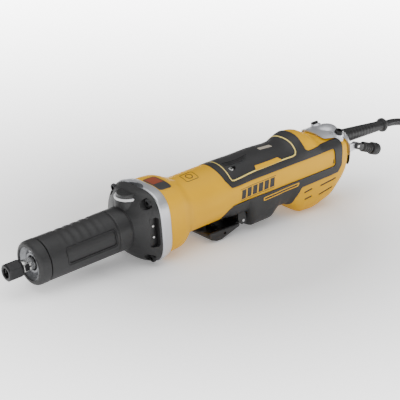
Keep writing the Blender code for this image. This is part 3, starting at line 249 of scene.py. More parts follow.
def prism(outline, low, high, plane="XZ", edge=0.0, segments=3):
    """Extrude an outline drawn in a plane, and round its edges."""
    bm = bmesh.new()
    place = {"XZ": lambda a, b: (a, low, b), "XY": lambda a, b: (a, b, low),
             "YZ": lambda a, b: (low, a, b)}[plane]
    way = {"XZ": (0, high - low, 0), "XY": (0, 0, high - low), "YZ": (high - low, 0, 0)}[plane]
    face = bm.faces.new([bm.verts.new(place(a, b)) for a, b in outline])
    grown = bmesh.ops.extrude_face_region(bm, geom=[face])
    moved = [part for part in grown["geom"] if isinstance(part, bmesh.types.BMVert)]
    bmesh.ops.translate(bm, verts=moved, vec=way)
    if edge:
        rims = [part for part in bm.edges if part.calc_face_angle(0) > 0.7]
        bmesh.ops.bevel(bm, geom=rims, offset=edge, segments=segments, profile=0.5, affect="EDGES",
                        clamp_overlap=True)
    return closed_mesh(bm)


# Moulded rubber: the black of the cord, a little duller and with a finer grain.
moulded_rubber_plug = moulded("moulded_rubber", "#1D1D1E", "#161617", 0.52, 0.9, 0.03)
cord_rubber["slot"] = "cord_rubber"
moulded_rubber_plug["slot"] = "cord_rubber"
plug_low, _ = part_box("plug_body")
PLUG_TURN = math.radians(30)
plug_place = Matrix.Translation((coil_centre.x - 0.0404, coil_centre.y - 0.0035, plug_low[2])) @ \
    Matrix.Rotation(PLUG_TURN, 4, "Z")
plug_outline = rounded([(-0.0045, -0.0268), (0.0045, -0.0268), (0.0080, -0.0150), (0.0119, -0.0080),
                        (0.0119, 0.0169), (-0.0119, 0.0169), (-0.0119, -0.0080), (-0.0080, -0.0150)], 0.004)
piece("plug", prism(plug_outline, 0.0001, 0.0148, "XY", 0.0022), moulded_rubber_plug, "tool",
      ["plug_body"], plug_place)


# ---- collet nut, collet and spindle --------------------------------------------------------------
# The collet is a slotted ground-steel sleeve that grips a 6.35 mm shank; a blackened 17 mm hex nut on the
# spindle's thread closes it. The spindle has two milled wrench flats by the nose, each with a thin dark plate
# of painted shade in it.
def metal(name, colour, deep, roughness, spread, across_mm, along_mm, depth_mm, metallic=1.0):
    """Bare or plated metal whose fine marks are across_mm apart and run for along_mm."""
    material = bpy.data.materials.new(name)
    material.use_nodes = True
    tree = material.node_tree
    shader = tree.nodes["Principled BSDF"]
    place = add_node(tree, "TexCoord").outputs["Object"]
    scale = (1000 / across_mm, 1000 / along_mm, 1000 / along_mm)
    marks_place = add_node(tree, "Mapping", {"Vector": place, "Scale": scale})
    marks = add_node(tree, "TexNoise", {"Vector": marks_place.outputs["Vector"], "Scale": 1, "Detail": 3})
    drift = add_node(tree, "TexNoise", {"Vector": place, "Scale": 60, "Detail": 2})
    shade = add_node(tree, "Mix", {0: drift.outputs["Fac"], 6: hexed(deep), 7: hexed(colour)},
                     data_type="RGBA")
    gloss = add_node(tree, "MapRange", {"Value": marks.outputs["Fac"], "From Min": 0.3, "From Max": 0.7,
                                        "To Min": roughness - spread, "To Max": roughness + spread})
    bump = add_node(tree, "Bump", {"Height": marks.outputs["Fac"], "Strength": 0.5,
                                   "Distance": depth_mm / 1000})
    tree.links.new(shade.outputs[2], shader.inputs["Base Color"])
    tree.links.new(gloss.outputs["Result"], shader.inputs["Roughness"])
    tree.links.new(bump.outputs["Normal"], shader.inputs["Normal"])
    shader.inputs["Metallic"].default_value = metallic
    return material


def turned(profile, steps=96, axis="X", centre=(0, 0, 0)):
    """Spin (along, radius) points about an axis; a profile off the axis closes on itself."""
    bm = bmesh.new()
    verts = [bm.verts.new((way, 0, radius)) for way, radius in profile]
    pairs = list(zip(verts, verts[1:]))
    if profile[0][1] > 0:
        pairs.append((verts[-1], verts[0]))
    edges = [bm.edges.new(pair) for pair in pairs]
    bmesh.ops.spin(bm, geom=verts + edges, cent=(0, 0, 0), axis=(1, 0, 0), angle=2 * math.pi,
                   steps=steps, use_merge=True)
    if axis == "Z":
        bmesh.ops.rotate(bm, verts=bm.verts, matrix=Matrix.Rotation(-math.pi / 2, 3, "Y"))
    if axis == "Y":
        bmesh.ops.rotate(bm, verts=bm.verts, matrix=Matrix.Rotation(math.pi / 2, 3, "Z"))
    bmesh.ops.translate(bm, verts=bm.verts, vec=centre)
    return closed_mesh(bm)


def rod(start, end, radius, steps=96, axis="X", centre=(0, 0, 0)):
    return turned([(start, 0), (start, radius), (end, radius), (end, 0)], steps, axis, centre)


def oblong(a, b, c, d):
    """Outline of a rectangle from its corner at (a, b) to its corner at (c, d)."""
    return [(a, b), (a, d), (c, d), (c, b)]


def reach(side, near, far):
    """Low and high y between two distances from the middle plane, on one side of it."""
    return sorted((side * near, side * far))


def carve(mesh, tool, operation="DIFFERENCE"):
    """Cut, join or keep the common part of two closed meshes, and return the result."""
    forms = [bpy.data.objects.new("form", item) for item in (mesh, tool)]
    for form in forms:
        bpy.context.scene.collection.objects.link(form)
    step = forms[0].modifiers.new("carve", "BOOLEAN")
    step.operation = operation
    step.solver = "EXACT"
    step.object = forms[1]
    graph = bpy.context.evaluated_depsgraph_get()
    result = bpy.data.meshes.new_from_object(forms[0].evaluated_get(graph))
    for form in forms:
        bpy.data.objects.remove(form)
    return result


# Black oxide over steel: near black with a dull oily glint along the flats.
black_oxide = metal("black_oxide_steel", "#2A2A2C", "#1E1E1F", 0.42, 0.08, 0.5, 3, 0.02, 0.55)
black_oxide["slot"] = "oxide_steel"
# Ground and turned steel: bright, with fine rings left by the wheel.
ground_steel = metal("ground_steel", "#D6D6D4", "#BEBEBC", 0.24, 0.08, 0.25, 12, 0.004)
ground_steel["slot"] = "ground_steel"
NUT_FRONT, NUT_REAR, SKIRT_REAR = -0.1523, -0.1385, -0.1359
HEX_CORNER = 0.017 / math.sqrt(3)
hexagon = rounded([(HEX_CORNER * math.cos(math.radians(60 * i + 30)),
                    HEX_CORNER * math.sin(math.radians(60 * i + 30))) for i in range(6)], 0.0008, 3)
nut = prism(hexagon, NUT_FRONT, NUT_REAR, "YZ")
nut = carve(nut, turned([(NUT_FRONT, 0), (NUT_FRONT, 0.0074), (NUT_FRONT + 0.0004, 0.0079),
                         (NUT_FRONT + 0.0022, HEX_CORNER), (NUT_REAR - 0.0010, HEX_CORNER),
                         (NUT_REAR, 0.0089), (NUT_REAR, 0)]), "INTERSECT")
nut = carve(nut, turned([(NUT_REAR - 0.001, 0), (NUT_REAR - 0.001, 0.0078), (NUT_REAR + 0.0006, 0.0078),
                         (NUT_REAR + 0.0010, 0.0083), (SKIRT_REAR - 0.0005, 0.0083),
                         (SKIRT_REAR, 0.0078), (SKIRT_REAR, 0)]), "UNION")
nut = carve(nut, turned([(NUT_FRONT - 0.001, 0), (NUT_FRONT - 0.001, 0.0060), (NUT_FRONT + 0.0003, 0.0052),
                         (NUT_FRONT + 0.0008, 0.0048), (NUT_FRONT + 0.0030, 0.0048),
                         (NUT_FRONT + 0.0030, 0.0062),
                         (NUT_REAR - 0.0020, 0.0062), (NUT_REAR - 0.0020, 0.0066), (SKIRT_REAR + 0.001, 0.0066),
                         (SKIRT_REAR + 0.001, 0)]))
piece("hex_collet_nut", nut, black_oxide, "nut", ["collet_nut"])

split_collet = turned([(NUT_FRONT + 0.0022, 0.0036), (NUT_FRONT + 0.0026, 0.0032),
                       (NUT_FRONT + 0.024, 0.0032), (NUT_FRONT + 0.024, 0.0046),
                       (NUT_FRONT + 0.0030, 0.0046), (NUT_FRONT + 0.0022, 0.0040)])
for turn in range(3):
    slit = prism([(NUT_FRONT - 0.001, 0.001), (NUT_FRONT + 0.018, 0.001), (NUT_FRONT + 0.018, 0.006),
                  (NUT_FRONT - 0.001, 0.006)], -0.0003, 0.0003)
    slit.transform(Matrix.Rotation(math.radians(120 * turn), 4, "X"))
    split_collet = carve(split_collet, slit)
# Collet steel painted dark grey as the shade inside the nut's bore: half bright, with short turning marks.
collet_steel_bore_shade = metal("collet_steel_painted_bore_shade", "#4A4A4B", "#3A3A3B", 0.34, 0.08, 0.3, 8, 0.01)
collet_steel_bore_shade["slot"] = "ground_steel"
piece("split_collet", split_collet, collet_steel_bore_shade, "collet", ["collet"])

NOSE_FRONT, NOSE_REAR = -0.1264, -0.1144
shaft = turned([(NUT_FRONT + 0.0300, 0), (NUT_FRONT + 0.0270, 0.0049), (NUT_FRONT + 0.0065, 0.0049),
                (NUT_FRONT + 0.0065, 0.0056), (NUT_FRONT + 0.0070, 0.0059), (SKIRT_REAR + 0.0003, 0.0059),
                (SKIRT_REAR + 0.0003, 0.0060), (SKIRT_REAR + 0.0006, 0.0063), (-0.0167, 0.0063),
                (-0.0167, 0.0052), (-0.0010, 0.0052), (-0.0010, 0)])
for side in (-1, 1):
    low, high = reach(side, 0.0048, 0.009)
    flat = prism(rounded([(SKIRT_REAR + 0.0016, -0.009), (NOSE_FRONT - 0.0010, -0.009),
                          (NOSE_FRONT - 0.0010, 0.009), (SKIRT_REAR + 0.0016, 0.009)], 0.001), low, high)
    shaft = carve(shaft, flat)
    # A thin black oxide plate in each flat is painted shade: it makes the milled pocket read dark inside its
    # bright rim.
    low, high = reach(side, 0.0044, 0.0050)
    flat_shade_plate = prism(rounded([(SKIRT_REAR + 0.0026, -0.0031), (NOSE_FRONT - 0.0020, -0.0031),
                          (NOSE_FRONT - 0.0020, 0.0031), (SKIRT_REAR + 0.0026, 0.0031)], 0.0008), low, high)
    piece("wrench_flat_shade_left" if side < 0 else "wrench_flat_shade_right", flat_shade_plate, black_oxide, "spindle")
piece("ground_spindle", shaft, ground_steel, "spindle", ["spindle"])

# ---- nose ring and bearing cap -------------------------------------------------------------------
# A black rubber ring guards the nose; inside its lip a cast aluminium cup, faced on a lathe,
# holds the front bearing.
# Overmoulded thermoplastic rubber: soft charcoal with a fine matt grain and no hard highlight.
overmould = moulded("thermoplastic_rubber", "#242425", "#1C1C1D", 0.58, 0.7, 0.03)
overmould["slot"] = "grip_rubber"
# Faced cast aluminium: pale, satin, with faint rings.
faced_aluminium = metal("faced_cast_aluminium", "#8E8F92", "#727376", 0.36, 0.10, 0.5, 6, 0.02)
faced_aluminium["slot"] = "cast_aluminium"
NOSE_RADIUS, GRIP_RADIUS = 0.0225, 0.0222
NECK_FRONT = NOSE_REAR - 0.0045
piece("bearing_cup", turned([
    (NOSE_FRONT + 0.0012, 0.0178), (NOSE_FRONT + 0.0012, 0.0184), (NECK_FRONT - 0.0003, 0.0184),
    (NECK_FRONT - 0.0003, 0.0076), (NECK_FRONT - 0.0030, 0.0076), (NECK_FRONT - 0.0034, 0.0080),
    (NECK_FRONT - 0.0034, 0.0098), (NECK_FRONT - 0.0028, 0.0104), (NOSE_FRONT + 0.0052, 0.0128),
    (NOSE_FRONT + 0.0030, 0.0158), (NOSE_FRONT + 0.0018, 0.0172)]), faced_aluminium, "tool", ["bearing_cap"])
piece("nose_guard", turned([
    (NOSE_FRONT + 0.0008, 0.0168), (NOSE_FRONT + 0.0002, 0.0170), (NOSE_FRONT, 0.0175), (NOSE_FRONT, 0.0190),
    (NOSE_FRONT + 0.0004, 0.0200),
    (NOSE_FRONT + 0.0014, 0.0213), (NOSE_FRONT + 0.0028, 0.0221), (NOSE_FRONT + 0.0046, NOSE_RADIUS),
    (NOSE_REAR - 0.0005, NOSE_RADIUS), (NOSE_REAR, NOSE_RADIUS - 0.0005), (NOSE_REAR, 0.0198),
    (NECK_FRONT - 0.0003, 0.0198), (NECK_FRONT - 0.0003, 0.0188), (NOSE_FRONT + 0.0009, 0.0188)]),
    overmould, "tool", ["nose_ring"])

# ---- grip sleeve ---------------------------------------------------------------------------------
# A rubber sleeve over the gear case's neck. Shallow finger waves run over its top, and each
# side has a sunken panel in a raised frame.
GRIP_FRONT, GRIP_REAR = -0.1132, -0.0335


def sleeve():
    """The sleeve's skin as rings whose radius is set by place and angle."""
    steps_round, spacing = 144, 0.0011
    bm = bmesh.new()
    rings = []
    count = round((GRIP_REAR - GRIP_FRONT) / spacing)
    for number in range(count + 1):
        x = GRIP_FRONT + (GRIP_REAR - GRIP_FRONT) * number / count
        edge = 0.0005 if number in (0, count) else 0
        ring = []
        for turn in range(steps_round):
            angle = 2 * math.pi * turn / steps_round
            y, z = math.cos(angle), math.sin(angle)
            wave = 0.00055 * (0.5 + 0.5 * math.cos((x - GRIP_FRONT - 0.0240) / 0.0092 * 2 * math.pi))
            wave *= ease((z - 0.45) / 0.25) * ease((x - GRIP_FRONT - 0.014) / 0.006)
            wave *= ease((GRIP_REAR - 0.009 - x) / 0.006)
            radius = GRIP_RADIUS - edge - wave
            ring.append(bm.verts.new((x, radius * y, radius * z)))
        rings.append(ring)
    inner = [[bm.verts.new((ring[0].co.x, 0.0198 * math.cos(2 * math.pi * turn / steps_round),
                            0.0198 * math.sin(2 * math.pi * turn / steps_round)))
              for turn in range(steps_round)] for ring in (rings[0], rings[-1])]
    loops = [inner[0], *rings, inner[1], inner[0]]
    for front, rear in zip(loops, loops[1:]):
        for turn in range(steps_round):
            after = (turn + 1) % steps_round
            bm.faces.new((front[turn], front[after], rear[after], rear[turn]))
    return closed_mesh(bm)


grip = sleeve()
PANEL = oblong(GRIP_FRONT + 0.0185, -0.0045, GRIP_REAR - 0.0045, 0.0110)


def grown_box(corners, by):
    (x0, z0), _, (x1, z1), _ = corners
    return oblong(x0 - by, z0 - by, x1 + by, z1 + by)


for side in (-1, 1):
    groove = carve(prism(rounded(grown_box(PANEL, 0.0014), 0.0035), *reach(side, 0.012, 0.03)),
                   prism(rounded(grown_box(PANEL, 0.0006), 0.0030), *reach(side, 0.010, 0.04)))
    shell = turned(oblong(GRIP_FRONT, 0.0216, GRIP_REAR, 0.030))
    grip = carve(grip, carve(groove, shell, "INTERSECT"))
    floor = turned(oblong(GRIP_FRONT, 0.0211, GRIP_REAR, 0.030))
    sunk = prism(rounded(grown_box(PANEL, -0.0004), 0.0022), *reach(side, 0.012, 0.03))
    grip = carve(grip, carve(sunk, floor, "INTERSECT"))
piece("rubber_sleeve", grip, overmould, "tool", ["grip_sleeve"])

# ---- gear case -----------------------------------------------------------------------------------
# One black powder-coated die casting: the round collar, the bell that opens to the square
# flange, the boss of the spindle lock, seats for four screws and a dark window on each side.
powder_coat = moulded("powder_coated_casting", "#232324", "#1A1A1B", 0.52, 1.1, 0.05)
powder_coat["slot"] = "case_black"


def monotone(rows, x):
    """Each column of the rows at x, on a cubic through them that never overshoots."""
    places = [row[0] for row in rows]
    here = max(0, min(len(rows) - 2, sum(1 for place in places if place <= x) - 1))

    def slope(number, column):
        if number in (0, len(rows) - 1):
            return 0
        before = (rows[number][column] - rows[number - 1][column]) / (places[number] - places[number - 1])
        after = (rows[number + 1][column] - rows[number][column]) / (places[number + 1] - places[number])
        return 0 if before * after <= 0 else 2 * before * after / (before + after)

    length = places[here + 1] - places[here]
    t = min(1, max(0, (x - places[here]) / length))
    values = [x]
    for column in range(1, len(rows[0])):
        a, b = rows[here][column], rows[here + 1][column]
        first, last = slope(here, column) * length, slope(here + 1, column) * length
        values.append((2 * t ** 3 - 3 * t ** 2 + 1) * a + (t ** 3 - 2 * t ** 2 + t) * first
                      + (3 * t ** 2 - 2 * t ** 3) * b + (t ** 3 - t ** 2) * last)
    return values


def section(half_width, top, drop, full_top, full_low, count):
    """One cross-section: a superellipse whose upper and lower halves differ."""
    points = []
    for step in range(count):
        angle = 2 * math.pi * step / count
        side, rise = math.cos(angle), math.sin(angle)
        full, height = (full_top, top) if rise > 0 else (full_low, drop)
        points.append((math.copysign(abs(side) ** (2 / full), side) * half_width,
                       math.copysign(abs(rise) ** (2 / full), rise) * height))
    return points


def lofted(rows, spacing, count=112):
    """Bridge smoothly changing cross-sections along the tool."""
    bm = bmesh.new()
    rings = []
    places = [rows[0][0]]
    for front, rear in zip(rows, rows[1:]):
        parts = max(1, math.ceil((rear[0] - front[0]) / spacing))
        places += [front[0] + (rear[0] - front[0]) * part / parts for part in range(1, parts + 1)]
    for x in places:
        _, *sizes = monotone(rows, x)
        rings.append([bm.verts.new((x, y, z)) for y, z in section(*sizes, count)])
    for front, rear in zip(rings, rings[1:]):
        for turn in range(count):
            after = (turn + 1) % count
            bm.faces.new((front[turn], front[after], rear[after], rear[turn]))
    bm.faces.new(rings[0])
    bm.faces.new(rings[-1])
    return closed_mesh(bm)


RING_HALF, COLLAR_REAR, CASE_REAR = 0.039, -0.0167, 0.0047
case_rows = [(x, half, half, half, full, full) for x, half, full in [
    (-0.0332, 0.0217, 2), (-0.0326, GRIP_RADIUS, 2), (-0.0180, GRIP_RADIUS, 2), (-0.0172, 0.0216, 2),
    (-0.0165, 0.0217, 2), (-0.0158, 0.0226, 2.02), (-0.0135, 0.0258, 2.10), (-0.0105, 0.0300, 2.3),
    (-0.0070, 0.0340, 2.6), (-0.0025, 0.0368, 2.95), (0.0020, 0.0381, 3.3), (CASE_REAR, 0.0384, 3.5)]]
case = lofted(case_rows, 0.0012, 144)
LOCK_X, BOSS_RADIUS, BOSS_TOP, CAP_RADIUS = -0.004, 0.0148, 0.0300, 0.0123
case = carve(case, turned([(0.018, 0), (0.018, BOSS_RADIUS), (BOSS_TOP - 0.0004, BOSS_RADIUS),
                           (BOSS_TOP, BOSS_RADIUS - 0.0004), (BOSS_TOP, 0)], 96, "Z", (LOCK_X, 0, 0)), "UNION")
case = carve(case, rod(0.0240, 0.0320, 0.0127, 96, "Z", (LOCK_X, 0, 0)))
case = carve(case, turned([(-0.05, 0), (-0.05, 0.0143), (COLLAR_REAR, 0.0143), (COLLAR_REAR, 0.0165),
                           (0.006, 0.0165), (0.006, 0)]))
SCREWS = [(side * 0.028, rise * 0.0299) for rise in (1, -1) for side in (-1, 1)]
for y, z in SCREWS:
    seat = turned([(-0.024, 0), (-0.024, 0.0066), (-0.0006, 0.0058), (0, 0.0050), (0, 0)], 48, "X", (0, y, z))
    case = carve(case, seat)
window = rounded([(-0.0068, -0.0150), (-0.0060, 0.0165), (0.0024, 0.0165), (0.0024, -0.0150)], 0.0025)
for side in (-1, 1):
    case = carve(case, prism(window, *reach(side, 0.0315, 0.045)))
# The front of the casting continues under the sleeve as a plain tube.
neck = turned(oblong(NECK_FRONT, 0.0134, -0.0330, 0.0195))
case = carve(case, neck, "UNION")
piece("case_casting", case, powder_coat, "tool", ["gear_case"], smooth=42)
# Black nylon insert: darker and a little smoother than the casting round it.
window_black = moulded("black_nylon_insert", "#161617", "#101011", 0.42, 1.0, 0.02)
window_black["slot"] = "black_nylon"
for side, name in ((-1, "left"), (1, "right")):
    plate = prism(rounded([(-0.0063, -0.0145), (-0.0056, 0.0160), (0.0020, 0.0160), (0.0020, -0.0145)], 0.0022),
                  *reach(side, 0.0317, 0.0335), edge=0.0003)
    piece("window_plate_" + name, plate, window_black, "tool")
    for number, rise in enumerate((0.0072, -0.0046)):
        pin = turned([(0, 0), (0, 0.0013), (0.0006, 0.0013), (0.0010, 0.0009), (0.0011, 0)], 32, "Y",
                     (-0.0022, 0, rise))
        pin.transform(Matrix.Translation((0, side * 0.0335, 0)) if side > 0 else
                      Matrix.Translation((0, -0.0335, 0)) @ Matrix.Rotation(math.pi, 4, "Z") @
                      Matrix.Translation((0.0044, 0, 0)))
        piece(f"window_pin_{name}_{number}", pin, ground_steel, "tool")

# ---- spindle lock --------------------------------------------------------------------------------
# A black nylon button in a pale bezel on the boss. Pressed, it drives a pin into the spindle's
# hub; a coil spring lifts it again.
# Moulded glass-filled nylon: black, with a low even sheen.
black_nylon = moulded("glass_filled_nylon_black", "#1C1C1D", "#151516", 0.42, 0.8, 0.02)
black_nylon["slot"] = "black_nylon"
bezel = turned([(BOSS_TOP + 0.0001, 0.0127), (BOSS_TOP + 0.0001, BOSS_RADIUS - 0.0002),
                (BOSS_TOP + 0.0012, BOSS_RADIUS), (BOSS_TOP + 0.0018, BOSS_RADIUS - 0.0003),
                (BOSS_TOP + 0.0021, BOSS_RADIUS - 0.0010), (BOSS_TOP + 0.0021, 0.0127)], 128, "Z",
               (LOCK_X, 0, 0))
# Anodised aluminium: near white, smooth and evenly satin.
pale_bezel = moulded("pale_anodised_bezel", "#E9E9EA", "#DADADC", 0.32, 0.8, 0.005)
pale_bezel["slot"] = "cast_aluminium"
piece("lock_collar", bezel, pale_bezel, "tool", ["lock_bezel"])
button = turned([(0.0290, 0), (0.0290, CAP_RADIUS), (0.0349, CAP_RADIUS), (0.0355, CAP_RADIUS - 0.0003),
                 (0.0358, CAP_RADIUS - 0.0010), (0.0358, CAP_RADIUS - 0.0026), (0.0354, CAP_RADIUS - 0.0032),
                 (0.0350, 0.0060), (0.0348, 0)], 128, "Z", (LOCK_X, 0, 0))
piece("lock_cap", button, black_nylon, "lock_button", ["lock_button"])
spring = bpy.data.curves.new("lock_spring_wire", "CURVE")
spring.dimensions = "3D"
spring.bevel_depth = 0.0003
spring.bevel_resolution = 3
spring.use_fill_caps = True
wire = spring.splines.new("POLY")
wire.points.add(2 * 24)
for number, point in enumerate(wire.points):
    turn = 2 * math.pi * number / 24
    point.co = (LOCK_X + 0.0064 * math.cos(turn), 0.0064 * math.sin(turn), 0.0246 + 0.0038 * number / 48, 1)
coil = bpy.data.objects.new("lock_spring_wire", spring)
bpy.context.scene.collection.objects.link(coil)
wire_mesh = bpy.data.meshes.new_from_object(coil.evaluated_get(bpy.context.evaluated_depsgraph_get()))
bpy.data.objects.remove(coil)
spring_piece = piece("lock_spring_coil", wire_mesh, ground_steel, "tool", ["lock_spring"])
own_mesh(spring_piece)

# ---- flange screws and flange ring ---------------------------------------------------------------
# Four socket screws clamp the gear case and the ring, a tumbled aluminium casting, to the
# housing. The ring is notched round the boss.
SCREW_HEAD, SCREW_SHANK = 0.0042, 0.0021


def socket_screw(head_height, length):
    """A low-headed socket screw along X, whose head sits on x = 0."""
    mesh = turned([(-head_height, 0), (-head_height, SCREW_HEAD - 0.0009),
                   (-head_height + 0.0003, SCREW_HEAD - 0.0003), (-head_height + 0.0009, SCREW_HEAD),
                   (-0.0003, SCREW_HEAD), (-0.0003, SCREW_SHANK), (length, SCREW_SHANK), (length, 0)], 48)
    key = [(0.0024 * math.cos(math.radians(60 * i)), 0.0024 * math.sin(math.radians(60 * i))) for i in range(6)]
    return carve(mesh, prism(key, -head_height - 0.001, -head_height + 0.0018, "YZ"))


for name, (y, z) in zip(("upper_left", "upper_right", "lower_left", "lower_right"), SCREWS):
    screw = socket_screw(0.0030, 0.0088)
    screw.transform(Matrix.Translation((0, y, z)))
    piece("socket_screw_" + name, screw, black_oxide, "tool", ["flange_screw_" + name])

# Tumbled cast aluminium: bright and satin, slightly cloudy, without polish.
cast_aluminium = metal("tumbled_cast_aluminium", "#D4D5D9", "#C0C1C6", 0.42, 0.06, 1.6, 1.6, 0.02, 0.85)
cast_aluminium["slot"] = "cast_aluminium"
ring_rows = [(x, half, half, half, full, full) for x, half, full in [
    (0.0050, 0.0380, 3.6), (0.0054, 0.0386, 3.6), (0.0062, RING_HALF, 3.6), (0.0100, RING_HALF - 0.0002, 3.5),
    (0.0168, RING_HALF - 0.0012, 3.3), (0.0176, RING_HALF - 0.0016, 3.25), (0.0180, RING_HALF - 0.0021, 3.2)]]
ring = lofted(ring_rows, 0.0015, 144)
ring = carve(ring, rod(0.004, 0.019, 0.0110))
ring = carve(ring, rod(0.0190, 0.05, 0.0151, 96, "Z", (LOCK_X, 0, 0)))
piece("cast_flange_ring", ring, cast_aluminium, "tool", ["flange_ring"])

# ---- housing -------------------------------------------------------------------------------------
# Two clamshell halves of golden yellow nylon: the flare behind the ring, the round motor neck
# and the handle, with air slots in the heel. They meet on the tool's middle plane.
# Moulded glass-filled nylon: saturated yellow, semi-matt from a fine spark-eroded grain.
yellow_nylon = moulded("glass_filled_nylon_yellow", "#E3AC00", "#DDA400", 0.50, 0.7, 0.012)
yellow_nylon.node_tree.nodes["Principled BSDF"].inputs["Specular IOR Level"].default_value = 0.25
yellow_nylon["slot"] = "housing_yellow"
FLARE, NECK, WAIST = 0.0368, 0.030, 0.0275
HUMP, HEEL = 0.0326, 0.0564
RING_REAR, FLARE_END, START, REAR = 0.018, 0.053, 0.100, 0.2845
HEEL_X = REAR - 0.070
HEEL_SLOPE = 0.007 * 0.0840


def body_rows(grow=0.0):
    """Cross-sections of the housing, grown evenly; a skin over it thins out where it starts."""
    rows = [
        (RING_REAR + 0.0003, FLARE, FLARE, FLARE, 3.1, 3.1),
        (RING_REAR + 0.007, FLARE, FLARE, FLARE, 3.0, 3.0),
        (FLARE_END - 0.017, FLARE - 0.0006, FLARE - 0.0006, FLARE - 0.0006, 2.9, 2.9),
        (FLARE_END - 0.010, NECK + 0.0040, NECK + 0.0040, NECK + 0.0040, 2.6, 2.6),
        (FLARE_END - 0.005, NECK + 0.0016, NECK + 0.0016, NECK + 0.0016, 2.3, 2.3),
        (FLARE_END, NECK + 0.0002, NECK + 0.0002, NECK + 0.0002, 2.05, 2.05),
        (FLARE_END + 0.007, NECK, NECK, NECK, 2, 2),
        (START, NECK, NECK, NECK, 2, 2),
        (START + 0.012, WAIST + 0.0015, 0.0286, 0.0296, 2.1, 2.3),
        (START + 0.0285, WAIST + 0.0003, 0.0280, 0.0298, 2.2, 2.6),
        (START + 0.0320, WAIST, 0.0279, 0.0405, 2.2, 3.2),
        (START + 0.0365, WAIST, 0.0278, 0.0460, 2.2, 3.8),
        (START + 0.060, WAIST, 0.0274, 0.0460, 2.3, 3.8),
        (START + 0.068, WAIST, 0.0270, 0.0415, 2.3, 3.4),
        (START + 0.074, WAIST, 0.0265, 0.0388, 2.3, 3.0),
        (HEEL_X - 0.0285, WAIST, 0.0256, 0.0388, 2.3, 3.0),
        (HEEL_X - 0.0215, WAIST, 0.0258, 0.0430, 2.3, 3.4),
        (HEEL_X - 0.0125, WAIST, HUMP - 0.0030, HEEL - 0.0042, 2.3, 3.8),
        (HEEL_X - 0.007, WAIST, HUMP - 0.0010, HEEL - HEEL_SLOPE, 2.4, 4),
        (HEEL_X, WAIST, HUMP, HEEL, 2.4, 4),
        (HEEL_X + 0.007, WAIST, HUMP - 0.0012, HEEL + HEEL_SLOPE, 2.4, 4),
        (REAR - 0.0545, WAIST, 0.0262, HEEL - 0.0003, 2.4, 4),
        (REAR - 0.0475, WAIST, 0.0216, HEEL - 0.0020, 2.4, 3.8),
        (REAR - 0.0365, WAIST - 0.0001, 0.0206, 0.0515, 2.4, 3.8),
        (REAR - 0.0255, WAIST - 0.0007, 0.0200, 0.0445, 2.5, 3.4),
        (REAR - 0.0155, WAIST - 0.0025, 0.0185, 0.0365, 2.5, 3.2),
        (REAR - 0.0080, WAIST - 0.0065, 0.0155, 0.0290, 2.5, 3.0),
        (REAR - 0.0025, WAIST - 0.0125, 0.0110, 0.0200, 2.5, 2.8),
        (REAR, WAIST - 0.0175, 0.0070, 0.0130, 2.5, 2.6)]
    grown = []
    for x, half, top, drop, full_top, full_low in rows:
        push = grow * min(1, max(0, (x - REAR + 0.030) / 0.030))
        more = grow * 0.2 if grow > 0.001 and x < START + 0.001 else grow
        grown.append((x + push, half + more, top + more, drop + more, full_top, full_low))
    return grown


def body_form(grow=0.0, front=None):
    rows = body_rows(grow)
    if front is not None:
        rows = [(front, *monotone(rows, front)[1:])] + [row for row in rows if row[0] > front + 0.001]
    return lofted(rows, 0.0020)


VENTS = [((0.2288, -0.0280), (0.2529, -0.0262)), ((0.2270, -0.0380), (0.2480, -0.0355)),
         ((0.2050, -0.0285), (0.2170, -0.0272)), ((0.2060, -0.0368), (0.2165, -0.0360))]
hollow = body_form(-0.0026)
hollow.transform(Matrix.Translation((-0.002, 0, 0)))
shell = carve(body_form(), hollow)
slots = [rounded([(x0, z0 - 0.0010), (x0, z0 + 0.0010), (x1, z1 + 0.0010), (x1, z1 - 0.0010)], 0.0008, 3)
         for (x0, z0), (x1, z1) in VENTS]
slots.append(rounded([(0.2478, -0.0084), (0.2492, -0.0034), (0.2508, -0.0034), (0.2506, -0.0084)], 0.0006, 3))
for slot in slots:
    for side in (-1, 1):
        shell = carve(shell, prism(slot, *reach(side, 0.018, 0.05)))
shell = carve(shell, rod(-0.050, -0.020, 0.0030, 32, "Z", (0.1135, 0, 0)))
# A screw well in the upper left, 7.6 mm across and square to the skin.
SCREW_WELL = Matrix.Translation((0.1170, -0.0152, 0.0264)) @ Matrix.Rotation(math.radians(30), 4, "X")
for side in (-1, 1):
    well = rod(-0.0080, 0.0060, 0.0047, 48, "Z")
    well.transform(Matrix.Scale(-side, 4, (0, 1, 0)) @ SCREW_WELL)
    if side > 0:
        well.flip_normals()
    shell = carve(shell, well)
left_half = carve(shell, prism([(0, -0.1), (0.3, -0.1), (0.3, 0.1), (0, 0.1)], -0.08, -0.0001), "INTERSECT")
right_half = left_half.copy()
right_half.transform(Matrix.Scale(-1, 4, (0, 1, 0)))
right_half.flip_normals()
for name, half in (("left", left_half), ("right", right_half)):
    piece("housing_shell_" + name, half, yellow_nylon, "tool", ["housing_" + name], smooth=42)

# A solid black plate fills each slot just under the skin: painted shade standing for the dark inside of the
# housing.
for number, outline in enumerate(slots):
    for side, name in ((-1, "left"), (1, "right")):
        slot_shade_plate = prism(outline, *reach(side, 0.0190, 0.05))
        slot_shade_plate = carve(carve(body_form(-0.0005), slot_shade_plate, "INTERSECT"), body_form(-0.0022))
        piece(f"vent_shade_{name}_{number}", slot_shade_plate, black_nylon, "tool")

